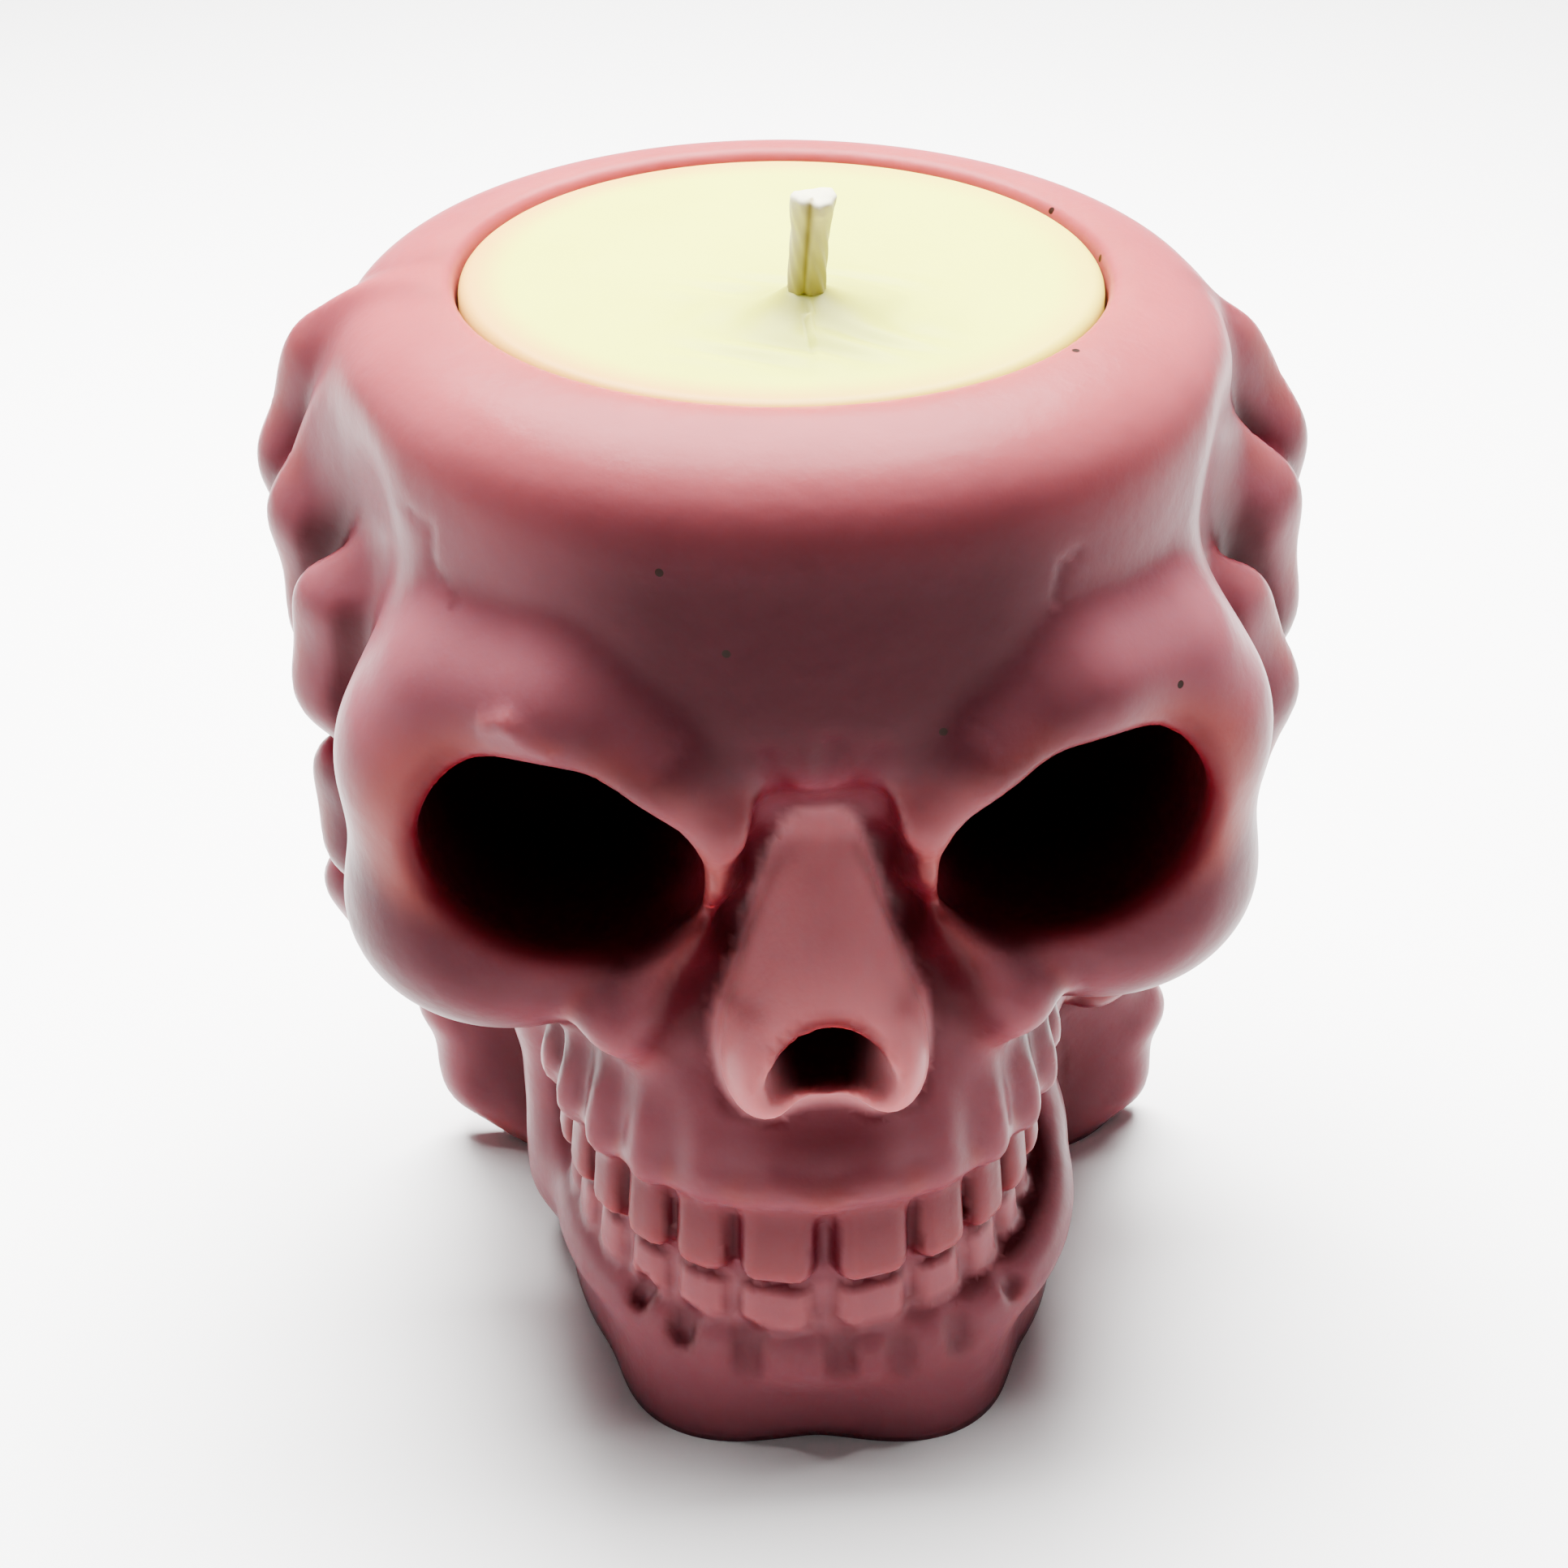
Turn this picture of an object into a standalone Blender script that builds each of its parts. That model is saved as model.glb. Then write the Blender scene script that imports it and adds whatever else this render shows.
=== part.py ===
"""Skull candle: a cast wax skull cup holding a poured wax fill, a cotton wick and its tin foot.

Metres, +Z up. The face looks along -Y, the table is z = 0, and the origin lies under the bowl.
The skull is sculpted the way a modeller blocks one out: rounded forms are fused and softened,
the hollows are cut, the teeth are set in, and the bowl and the base are cut last, crisp.
"""
import math

import bmesh
import bpy
from mathutils import Matrix, Vector

# Overall sizes
RIM_HEIGHT = 0.0995
CROWN_RADII = (0.0394, 0.0404)
CROWN_WIDEST_Z = 0.0830
CROWN_POWER = 4.6
NECK_RADII = (0.0228, 0.0260)
NECK_Y = 0.0110
NAPE_SPAN = (0.0300, 0.0760)
BASE_DEPTH = 0.0080

# Bowl, fill and wick
BOWL_Y = 0.0024
BOWL_RADIUS = 0.0282
BOWL_DEPTH = 0.0215
BOWL_CORNER = 0.0060
LIP_DISH_RADII = (0.0340, 0.0340, 0.0145)
LIP_DISH_ABOVE_RIM = 0.0075
FIT_GAP = 0.0003
FILL_BELOW_RIM = 0.0015
FILL_EDGE = 0.0005
WICK_PLACE = (0.0010, -0.0080)
WICK_DIAMETER = 0.0032
WICK_STAND = 0.0112
WICK_FLARE = 0.0003
MOUND_HEIGHT = 0.0024
MOUND_RADIUS = 0.0062
MOUND_TOP_SHARE = 0.30
FOOT_DIAMETER = 0.0125
FOOT_THICKNESS = 0.0005
FOOT_NECK_HEIGHT = 0.0035
FOOT_NECK_WALL = 0.0004

# Face: places on the +X side, mirrored to the other
CHEEK_UPPER = ((0.0257, -0.0205, 0.0645), (0.0150, 0.0124, 0.0150))
CHEEK_LOWER = ((0.0252, -0.0195, 0.0500), (0.0154, 0.0144, 0.0124))
CHEEK_YAW = -0.35
BROW_LINE = ((0.0290, -0.0250, 0.0735), (0.0210, -0.0305, 0.0740),
             (0.0135, -0.0342, 0.0695), (0.0085, -0.0352, 0.0648))
BROW_RADII = (0.0056, 0.0060, 0.0046, 0.0036)
SOCKET_RIM_LINE = ((0.0080, -0.0345, 0.0645), (0.0080, -0.0340, 0.0580),
                   (0.0108, -0.0340, 0.0505), (0.0165, -0.0325, 0.0450))
SOCKET_RIM_RADII = (0.0030, 0.0026, 0.0030, 0.0046)
SOCKET_CENTRE = (0.0213, -0.0260, 0.0606)
SOCKET_RADII = (0.0125, 0.0180, 0.0106)
SOCKET_YAW = -0.10
SOCKET_TILT = 0.45
TEMPLE_HOLLOW = ((0.0438, -0.0150, 0.0780), (0.0080, 0.0100, 0.0140))
MIDFACE = ((0.0, -0.0205, 0.0520), (0.0150, 0.0118, 0.0160))
NOSE_LINE = ((0.0, -0.0316, 0.0630), (0.0, -0.0354, 0.0466))
NOSE_RADII = (0.0026, 0.0080)
NOSE_WING = ((0.0052, -0.0382, 0.0430), (0.0040, 0.0058, 0.0052))
NOSTRIL_LINE = ((0.0, -0.0330, 0.0462), (0.0, -0.0470, 0.0455))
NOSTRIL_RADII = (0.0034, 0.0041)
NOSTRIL_CORNER_LINE = ((0.0018, -0.0350, 0.0446), (0.0033, -0.0470, 0.0428))
NOSTRIL_CORNER_RADII = (0.0024, 0.0026)
NOSE_GROOVE_LINE = ((0.0036, -0.0340, 0.0640), (0.0058, -0.0335, 0.0570),
                    (0.0084, -0.0345, 0.0500), (0.0112, -0.0368, 0.0440))
NOSE_GROOVE_RADII = (0.0022, 0.0022, 0.0024, 0.0026)

# Upper jaw, lower jaw and teeth
MUZZLE_Y = -0.0150
MUZZLE_RADII = (0.0222, 0.0254)
MUZZLE_POWER = 2.2
MUZZLE_SPAN = (0.0272, 0.0480)
MUZZLE_EDGE = 0.0030
GUM_Z = 0.0296
GUM_RADII = (0.0214, 0.0248)
GUM_ROLL = 0.0015
JAW_SHIFT = 0.0016
JAW_TURN = -0.05
JAW_Y = -0.0050
JAW_RADII = (0.0240, 0.0330)
JAW_POWER = 2.2
JAW_TOP = 0.0140
JAW_EDGE = 0.0035
LEDGE_Z = 0.0104
LEDGE_RADII = (0.0215, 0.0226)
LEDGE_ROLL = 0.0030
CORE_RADII = (0.0187, 0.0222)
CORE_SPAN = (0.0, 0.0300)
CORE_EDGE = 0.0030
RAMUS_LINE = ((0.0205, -0.0060, 0.0080), (0.0210, -0.0050, 0.0280), (0.0220, -0.0040, 0.0400))
RAMUS_RADII = (0.0052, 0.0052, 0.0058)
CHIN_RIGHT = (0.0092, -0.0318)
CHIN_LEFT = (-0.0088, -0.0300)
CHIN_RADIUS = 0.0078
CHIN_SPAN = (-0.0010, 0.0032)
ARCH_Y = -0.0150
ARCH_RADII = (0.0194, 0.0229)
ARCH_REACH = 1.35
TOOTH_WIDTHS = (0.0068, 0.0055, 0.0052, 0.0050, 0.0050, 0.0048)
TOOTH_DEPTH = 0.0056
TOOTH_GAP = 0.0005
TOOTH_ROUND = 0.0016
TOOTH_LEAN = 0.10
UPPER_TEETH = (0.0194, 0.0312)
LOWER_TEETH = (0.0130, 0.0190)
LOWER_SET_BACK = 0.0006

# Side lobes, from the crown down: (x, y, z, half width, half height)
LOBES_RIGHT = ((0.0340, 0.0040, 0.0715, 0.0170, 0.0205), (0.0335, -0.0020, 0.0660, 0.0165, 0.0185),
               (0.0320, -0.0100, 0.0570, 0.0160, 0.0170), (0.0320, 0.0000, 0.0330, 0.0145, 0.0130),
               (0.0290, 0.0045, 0.0110, 0.0115, 0.0140))
LOBES_LEFT = ((0.0325, 0.0040, 0.0775, 0.0150, 0.0185), (0.0320, -0.0020, 0.0725, 0.0147, 0.0185),
              (0.0310, -0.0100, 0.0660, 0.0145, 0.0135), (0.0305, -0.0060, 0.0480, 0.0145, 0.0120),
              (0.0310, 0.0000, 0.0350, 0.0135, 0.0105), (0.0255, 0.0080, 0.0155, 0.0110, 0.0160))
LOBE_THICKNESS = 0.0096
LOBE_DISH = 0.0048
LOBE_SWEEP = 0.40

# How finely the sculpted wax is worked
CLAY_GRAIN = 0.0011
CLAY_SOFTENING = 9
EDGE_GRAIN = 0.0009
EDGE_SOFTENING = 7
TOOTH_GRAIN = 0.0006
FACET_SHARE = 0.0322
TURNED_SIDES = 48
SMALL_SIDES = 24
PLAN_SIDES = 72
NECK_RINGS = 30
SHOULDER_RINGS = 14
SHOULDER_END = 0.986
ROLL_STEPS = 12
CUT_REACH = 0.1
CUTTER_SPARE = 0.010


def clear_scene():
    for item in list(bpy.data.objects):
        bpy.data.objects.remove(item, do_unlink=True)


def plain_material(name, colour, roughness, metallic=0.0):
    material = bpy.data.materials.new(name)
    material.use_nodes = True
    shader = material.node_tree.nodes["Principled BSDF"]
    shader.inputs["Base Color"].default_value = (*colour, 1.0)
    shader.inputs["Roughness"].default_value = roughness
    shader.inputs["Metallic"].default_value = metallic
    return material


def add_object(name, bm, material=None, guide=False):
    """Turn a bmesh into an object; a guide is a cutter or filler that isn't a piece itself."""
    mesh = bpy.data.meshes.new(name)
    bm.to_mesh(mesh)
    bm.free()
    mesh.shade_smooth()
    item = bpy.data.objects.new(name, mesh)
    bpy.context.scene.collection.objects.link(item)
    if material:
        mesh.materials.append(material)
    if guide:
        item.hide_render = True
        item.display_type = "WIRE"
    return item


def both_sides(point):
    """The same point on the right and, mirrored, on the left, with the side's sign."""
    return ((1, Vector(point)), (-1, Vector((-point[0], point[1], point[2]))))


def add_ball(bm, centre, radii, yaw=0.0, tilt=0.0, detail=4):
    """An ellipsoid, its long way tilted up by tilt and then turned about Z by yaw."""
    turn = Matrix.Rotation(yaw, 4, "Z") @ Matrix.Rotation(-tilt, 4, "Y")
    place = Matrix.Translation(centre) @ turn @ Matrix.Diagonal((*radii, 1.0))
    return bmesh.ops.create_icosphere(bm, subdivisions=detail, radius=1.0, matrix=place)["verts"]


def add_limb(bm, start, end, start_radius, end_radius):
    """A round bar: the hull of a ball at each end."""
    limb = bmesh.new()
    add_ball(limb, start, (start_radius,) * 3, detail=3)
    add_ball(limb, end, (end_radius,) * 3, detail=3)
    hull = bmesh.ops.convex_hull(limb, input=limb.verts[:])
    inside = {item for key in ("geom_interior", "geom_unused") for item in hull[key]
              if isinstance(item, bmesh.types.BMVert)}
    bmesh.ops.delete(limb, geom=list(inside), context="VERTS")
    shape = bpy.data.meshes.new("limb")
    limb.to_mesh(shape)
    limb.free()
    bm.from_mesh(shape)
    bpy.data.meshes.remove(shape)


def add_chain(bm, line, radii):
    """Limbs laid end to end along a line on the +X side, and mirrored on the other."""
    for side in (1, -1):
        points = [Vector((side * x, y, z)) for x, y, z in line]
        for first in range(len(points) - 1):
            add_limb(bm, points[first], points[first + 1], radii[first], radii[first + 1])


def plan(centre_y, radii, power, z, sides=PLAN_SIDES):
    """Points round a superellipse at height z."""
    points = []
    for step in range(sides):
        angle = 2 * math.pi * step / sides
        c, s = math.cos(angle), math.sin(angle)
        x = radii[0] * math.copysign(abs(c) ** (2 / power), c)
        y = centre_y + radii[1] * math.copysign(abs(s) ** (2 / power), s)
        points.append(Vector((x, y, z)))
    return points


def add_skin(bm, loops):
    """Faces between loops of points, listed from the bottom up, and one over each end."""
    rings = [[bm.verts.new(point) for point in loop] for loop in loops]
    for lower, upper in zip(rings[:-1], rings[1:]):
        for step in range(len(lower)):
            ahead = (step + 1) % len(lower)
            bm.faces.new((lower[step], lower[ahead], upper[ahead], upper[step]))
    return bm.faces.new(reversed(rings[0])), bm.faces.new(rings[-1])


def add_column(bm, centre_y, radii, power, span, edge, place=Matrix()):
    """An upright column whose plan is a superellipse, with its two rims rounded by edge."""
    ends = add_skin(bm, [[place @ point for point in plan(centre_y, radii, power, z)] for z in span])
    rims = [rim for end in ends for rim in end.edges]
    bmesh.ops.bevel(bm, geom=rims, offset=edge, segments=3, profile=0.5, affect="EDGES")


def add_roll(bm, centre_y, radii, z, radius, place=Matrix()):
    """A round bar bent along the front of an ellipse."""
    points = []
    for step in range(ROLL_STEPS + 1):
        angle = ARCH_REACH * (2 * step / ROLL_STEPS - 1)
        points.append(place @ Vector((radii[0] * math.sin(angle), centre_y - radii[1] * math.cos(angle), z)))
    for start, end in zip(points[:-1], points[1:]):
        add_limb(bm, start, end, radius, radius)


def jaw_place():
    """The jaw stands a little to the right of the middle and a little turned."""
    pivot = Matrix.Translation((JAW_SHIFT, ARCH_Y, 0))
    return pivot @ Matrix.Rotation(JAW_TURN, 4, "Z") @ Matrix.Translation((0, -ARCH_Y, 0))


def head_rings():
    """Rings of the cranium: a plain neck that swells at the nape to the crown's rounded rim."""
    low, high = NAPE_SPAN
    for step in range(NECK_RINGS + 1):
        z = -BASE_DEPTH + (CROWN_WIDEST_Z + BASE_DEPTH) * step / NECK_RINGS
        rise = min(1.0, max(0.0, (z - low) / (high - low)))
        swell = rise * rise * (3 - 2 * rise)
        radii = [neck + (crown - neck) * swell for neck, crown in zip(NECK_RADII, CROWN_RADII)]
        yield plan(NECK_Y + (BOWL_Y - NECK_Y) * swell, radii, 2.0, z, TURNED_SIDES)
    for step in range(1, SHOULDER_RINGS + 1):
        angle = 0.5 * math.pi * SHOULDER_END * step / SHOULDER_RINGS
        share = math.cos(angle) ** (2 / CROWN_POWER)
        lift = math.sin(angle) ** (2 / CROWN_POWER)
        z = CROWN_WIDEST_Z + (RIM_HEIGHT - CROWN_WIDEST_Z) * lift
        yield plan(BOWL_Y, [radius * share for radius in CROWN_RADII], 2.0, z, TURNED_SIDES)


def add_face(bm):
    for centre, radii in (CHEEK_UPPER, CHEEK_LOWER):
        for side, place in both_sides(centre):
            add_ball(bm, place, radii, yaw=side * CHEEK_YAW)
    add_chain(bm, BROW_LINE, BROW_RADII)
    add_chain(bm, SOCKET_RIM_LINE, SOCKET_RIM_RADII)
    add_ball(bm, *MIDFACE)
    add_column(bm, MUZZLE_Y, MUZZLE_RADII, MUZZLE_POWER, MUZZLE_SPAN, MUZZLE_EDGE)


def add_nose(bm):
    """The bridge, widening to the tip, and the round wing on each side of the nostril."""
    add_limb(bm, *NOSE_LINE, *NOSE_RADII)
    for _, place in both_sides(NOSE_WING[0]):
        add_ball(bm, place, NOSE_WING[1])


def add_jaw(bm):
    add_column(bm, JAW_Y, JAW_RADII, JAW_POWER, (-BASE_DEPTH, JAW_TOP), JAW_EDGE, jaw_place())
    add_roll(bm, ARCH_Y, LEDGE_RADII, LEDGE_Z, LEDGE_ROLL, jaw_place())
    add_column(bm, ARCH_Y, CORE_RADII, 2.0, CORE_SPAN, CORE_EDGE)
    add_chain(bm, RAMUS_LINE, RAMUS_RADII)
    for x, y in (CHIN_RIGHT, CHIN_LEFT):
        add_limb(bm, (x, y, CHIN_SPAN[0]), (x, y, CHIN_SPAN[1]), CHIN_RADIUS, CHIN_RADIUS)


def add_lobe(bm, side, row):
    """A rounded lobe swept back from the face, its front pressed in like a petal."""
    x, y, z, half_width, half_height = row
    petal = bmesh.ops.create_icosphere(bm, subdivisions=4, radius=1.0)["verts"]
    for vert in petal:
        off_centre = min(1.0, vert.co.x ** 2 + vert.co.z ** 2)
        front = max(0.0, -vert.co.y)
        vert.co.y = vert.co.y * LOBE_THICKNESS / 2 + front * LOBE_DISH * (1 - off_centre)
        vert.co.x *= half_width
        vert.co.z *= half_height
    place = Matrix.Translation((side * x, y, z)) @ Matrix.Rotation(side * LOBE_SWEEP, 4, "Z")
    bmesh.ops.transform(bm, matrix=place, verts=petal)


def blocked_forms():
    bm = bmesh.new()
    add_skin(bm, head_rings())
    add_face(bm)
    add_jaw(bm)
    for side, rows in ((1, LOBES_RIGHT), (-1, LOBES_LEFT)):
        for row in rows:
            add_lobe(bm, side, row)
    return bm


def hollow_cutters():
    """What is carved out of the fused forms: sockets, temples, nose grooves and the lip's dish."""
    bm = bmesh.new()
    for side, place in both_sides(SOCKET_CENTRE):
        add_ball(bm, place, SOCKET_RADII, yaw=side * SOCKET_YAW, tilt=side * SOCKET_TILT)
    for side, place in both_sides(TEMPLE_HOLLOW[0]):
        add_ball(bm, place, TEMPLE_HOLLOW[1])
    add_chain(bm, NOSE_GROOVE_LINE, NOSE_GROOVE_RADII)
    add_ball(bm, (0, BOWL_Y, RIM_HEIGHT + LIP_DISH_ABOVE_RIM), LIP_DISH_RADII)
    return bm


def nostril_cutters():
    """The nostril: a round way in, with a lobe down to each side like the top of a heart."""
    bm = bmesh.new()
    add_limb(bm, *NOSTRIL_LINE, *NOSTRIL_RADII)
    add_chain(bm, NOSTRIL_CORNER_LINE, NOSTRIL_CORNER_RADII)
    return bm


def arch_places(set_back):
    """Tooth places along the elliptical arch, walked outwards from the middle by tooth width."""
    across, along = ARCH_RADII[0] - set_back, ARCH_RADII[1] - set_back
    angle = 0.0
    for width in TOOTH_WIDTHS:
        half_step = width / 2 / math.hypot(across * math.cos(angle), along * math.sin(angle))
        angle += half_step
        facing = math.atan2(along * math.sin(angle), across * math.cos(angle))
        yield across * math.sin(angle), ARCH_Y - along * math.cos(angle), facing, width
        angle += half_step


def add_tooth(bm, x, y, facing, width, span):
    height = span[1] - span[0]
    lean = Matrix.Rotation(-TOOTH_LEAN, 4, "X")
    place = (Matrix.Translation((x, y, span[0] + height / 2)) @ Matrix.Rotation(facing, 4, "Z")
             @ lean @ Matrix.Diagonal((width - TOOTH_GAP, TOOTH_DEPTH, height, 1.0)))
    cube = bmesh.ops.create_cube(bm, size=1.0, matrix=place)["verts"]
    edges = list({edge for vert in cube for edge in vert.link_edges})
    bmesh.ops.bevel(bm, geom=edges, offset=TOOTH_ROUND, segments=2, profile=0.5, affect="EDGES")


def fine_forms():
    """The nose, the rolled edge of the gum and both rows of teeth, set in after the softening."""
    bm = bmesh.new()
    add_nose(bm)
    add_roll(bm, MUZZLE_Y, GUM_RADII, GUM_Z, GUM_ROLL)
    for set_back, span in ((0.0, UPPER_TEETH), (LOWER_SET_BACK, LOWER_TEETH)):
        for x, y, facing, width in arch_places(set_back):
            for side in (1, -1):
                add_tooth(bm, side * x, y, side * facing, width, span)
    return bm


def fuse(item, grain, softening):
    """Melt overlapping forms into one skin, then soften its joints."""
    melt = item.modifiers.new("melt", "REMESH")
    melt.mode = "VOXEL"
    melt.voxel_size = grain
    melt.use_smooth_shade = True
    if softening:
        soften = item.modifiers.new("soften", "SMOOTH")
        soften.factor = 0.5
        soften.iterations = softening


def combine(item, other, operation):
    step = item.modifiers.new(other.name, "BOOLEAN")
    step.operation = operation
    step.solver = "EXACT"
    step.object = other


def turned(name, profile, place, material=None, guide=False, sides=TURNED_SIDES):
    """Turn a closed profile of (radius, height), listed down its outer side, about Z."""
    bm = bmesh.new()
    verts = [bm.verts.new((radius, 0, height)) for radius, height in profile]
    for first, second in zip(verts[:-1], verts[1:]):
        bm.edges.new((first, second))
    item = add_object(name, bm, material, guide)
    item.location = place
    screw = item.modifiers.new("turn", "SCREW")
    screw.axis = "Z"
    screw.steps = sides
    screw.render_steps = sides
    screw.use_merge_vertices = True
    screw.merge_threshold = 0.00001
    screw.use_normal_calculate = False
    return item


def block(name, low, high):
    """A plain box between two corners, used as a cutter."""
    bm = bmesh.new()
    centre = (Vector(low) + Vector(high)) / 2
    size = Vector(high) - Vector(low)
    bmesh.ops.create_cube(bm, size=1.0, matrix=Matrix.Translation(centre) @ Matrix.Diagonal((*size, 1.0)))
    return add_object(name, bm, guide=True)


def arc(centre, radius, start, end, steps=4):
    """Points of (radius, height) along an arc, angles in degrees from the outward direction."""
    for step in range(steps + 1):
        angle = math.radians(start + (end - start) * step / steps)
        yield centre[0] + radius * math.cos(angle), centre[1] + radius * math.sin(angle)


def bowl_profile():
    """The bowl's outline: a straight wall and a rounded corner down to its flat floor."""
    above, floor = RIM_HEIGHT + CUTTER_SPARE, RIM_HEIGHT - BOWL_DEPTH
    corner = (BOWL_RADIUS - BOWL_CORNER, floor + BOWL_CORNER)
    return [(0.0, above), (BOWL_RADIUS, above), *arc(corner, BOWL_CORNER, 0, -90), (0.0, floor)]


def make_skull():
    wax = plain_material("rose_wax", (0.62, 0.26, 0.27), 0.34)
    skull = add_object("skull_shell", blocked_forms(), wax)
    fuse(skull, CLAY_GRAIN, CLAY_SOFTENING)

    hollows = add_object("hollows_cutter", hollow_cutters(), guide=True)
    fuse(hollows, EDGE_GRAIN, 0)
    combine(skull, hollows, "DIFFERENCE")
    fuse(skull, EDGE_GRAIN, EDGE_SOFTENING)

    fine = add_object("nose_and_teeth_filler", fine_forms(), guide=True)
    fuse(fine, TOOTH_GRAIN, 0)
    combine(skull, fine, "UNION")
    nostril = add_object("nostril_cutter", nostril_cutters(), guide=True)
    fuse(nostril, TOOTH_GRAIN, 0)
    combine(skull, nostril, "DIFFERENCE")
    fuse(skull, TOOTH_GRAIN, 1)
    facets = skull.modifiers.new("facets", "DECIMATE")
    facets.ratio = FACET_SHARE

    bowl = turned("bowl_cutter", bowl_profile(), (0, BOWL_Y, 0), guide=True)
    combine(skull, bowl, "DIFFERENCE")
    table = block("table_cutter", (-CUT_REACH,) * 3, (CUT_REACH, CUT_REACH, 0.0))
    combine(skull, table, "DIFFERENCE")
    return skull


def make_fill(wick_cutter):
    """The poured wax: a disc that fills the bowl, drawn up in a mound round the wick."""
    wax = plain_material("cream_wax", (0.86, 0.86, 0.58), 0.42)
    floor = RIM_HEIGHT - BOWL_DEPTH + FIT_GAP
    top = RIM_HEIGHT - FILL_BELOW_RIM
    radius = BOWL_RADIUS - FIT_GAP
    corner = BOWL_CORNER - FIT_GAP
    profile = [(0.0, top), (radius - FILL_EDGE, top), (radius, top - FILL_EDGE)]
    profile += list(arc((radius - corner, floor + corner), corner, 0, -90))
    profile.append((0.0, floor))
    fill = turned("candle_fill", profile, (0, BOWL_Y, 0), wax)

    steps = 5
    slope = []
    for step in range(steps + 1):
        out = step / steps
        share = MOUND_TOP_SHARE + (1 - MOUND_TOP_SHARE) * out
        slope.append((MOUND_RADIUS * share, top + MOUND_HEIGHT * (1 - out) ** 2))
    sunk = top - 0.001
    mound_profile = [(0.0, slope[0][1])] + slope + [(MOUND_RADIUS, sunk), (0.0, sunk)]
    mound = turned("mound_filler", mound_profile, (*WICK_PLACE, 0), guide=True, sides=SMALL_SIDES)
    combine(fill, mound, "UNION")
    combine(fill, wick_cutter, "DIFFERENCE")
    return fill


def wick_way(gap):
    """The wick's and its foot's outline, from the top of the wick down, grown by gap."""
    floor = RIM_HEIGHT - BOWL_DEPTH + FIT_GAP
    top = RIM_HEIGHT - FILL_BELOW_RIM + WICK_STAND
    wick = WICK_DIAMETER / 2
    neck = wick + FIT_GAP + FOOT_NECK_WALL
    plate = FOOT_DIAMETER / 2
    neck_top = floor + FOOT_NECK_HEIGHT + gap
    plate_top = floor + FOOT_THICKNESS + gap
    above, below = top + CUTTER_SPARE, floor - CUTTER_SPARE
    return [(0.0, above), (wick + gap, above), (wick + gap, neck_top + FIT_GAP), (neck + gap, neck_top),
            (neck + gap, plate_top), (plate + gap, plate_top), (plate + gap, below), (0.0, below)]


def make_foot():
    """The tin foot that holds the wick's lower end: a flat disc with a raised neck."""
    tin = plain_material("tin", (0.62, 0.62, 0.63), 0.35, metallic=1.0)
    floor = RIM_HEIGHT - BOWL_DEPTH + FIT_GAP
    bore = WICK_DIAMETER / 2 + FIT_GAP
    neck = bore + FOOT_NECK_WALL
    plate = FOOT_DIAMETER / 2
    outline = [(bore, floor + FOOT_NECK_HEIGHT), (neck, floor + FOOT_NECK_HEIGHT),
               (neck, floor + FOOT_THICKNESS), (plate, floor + FOOT_THICKNESS), (plate, floor),
               (bore, floor), (bore, floor + FOOT_NECK_HEIGHT)]
    return turned("wick_foot", outline, (*WICK_PLACE, 0), tin, sides=SMALL_SIDES)


def make_wick():
    """The waxed cotton wick, cut square at the top and a little frayed out there."""
    cotton = plain_material("waxed_cotton", (0.86, 0.86, 0.80), 0.7)
    floor = RIM_HEIGHT - BOWL_DEPTH + 2 * FIT_GAP
    top = RIM_HEIGHT - FILL_BELOW_RIM + WICK_STAND
    radius = WICK_DIAMETER / 2
    outline = [(0.0, top), (radius + WICK_FLARE * 0.6, top), (radius + WICK_FLARE, top - 0.0005),
               (radius + WICK_FLARE * 0.5, top - 0.0016), (radius, top - 0.0032),
               (radius, top - WICK_STAND * 0.6), (radius, floor), (0.0, floor)]
    return turned("wick", outline, (*WICK_PLACE, 0), cotton, sides=SMALL_SIDES)


def main():
    clear_scene()
    make_skull()
    way = turned("wick_way_cutter", wick_way(FIT_GAP), (*WICK_PLACE, 0), guide=True, sides=SMALL_SIDES)
    make_fill(way)
    make_foot()
    make_wick()


main()
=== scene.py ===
"""Skull candle: a cast wax skull cup with its poured wax fill and waxed cotton wick, in a pale studio.

Metres, +Z up. The face looks along -Y and the table is z = 0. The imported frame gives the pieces
their places. The skull is a distance formula, joined and carved from rounded forms, whose zero
surface becomes the mesh. The fill and the wick are surfaces of two parameters.
"""

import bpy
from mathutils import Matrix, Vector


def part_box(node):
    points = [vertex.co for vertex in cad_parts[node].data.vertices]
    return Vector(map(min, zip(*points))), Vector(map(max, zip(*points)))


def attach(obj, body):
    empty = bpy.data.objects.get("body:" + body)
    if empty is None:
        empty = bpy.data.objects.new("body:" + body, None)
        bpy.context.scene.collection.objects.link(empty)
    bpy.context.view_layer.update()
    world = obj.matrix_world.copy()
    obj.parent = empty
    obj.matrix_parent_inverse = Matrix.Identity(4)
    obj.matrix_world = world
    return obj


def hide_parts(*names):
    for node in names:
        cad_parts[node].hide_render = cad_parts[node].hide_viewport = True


bl_info = {
    "name": "Skull candle",
    "version": (1, 0, 0),
    "blender": (4, 5, 0),
    "location": "3D View > Sidebar > Candle",
    "description": "Makes the wax skull, its fill, its wick and the studio round them",
    "category": "Object",
}

import math

import bpy
import numpy as np
from mathutils import Vector

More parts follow.
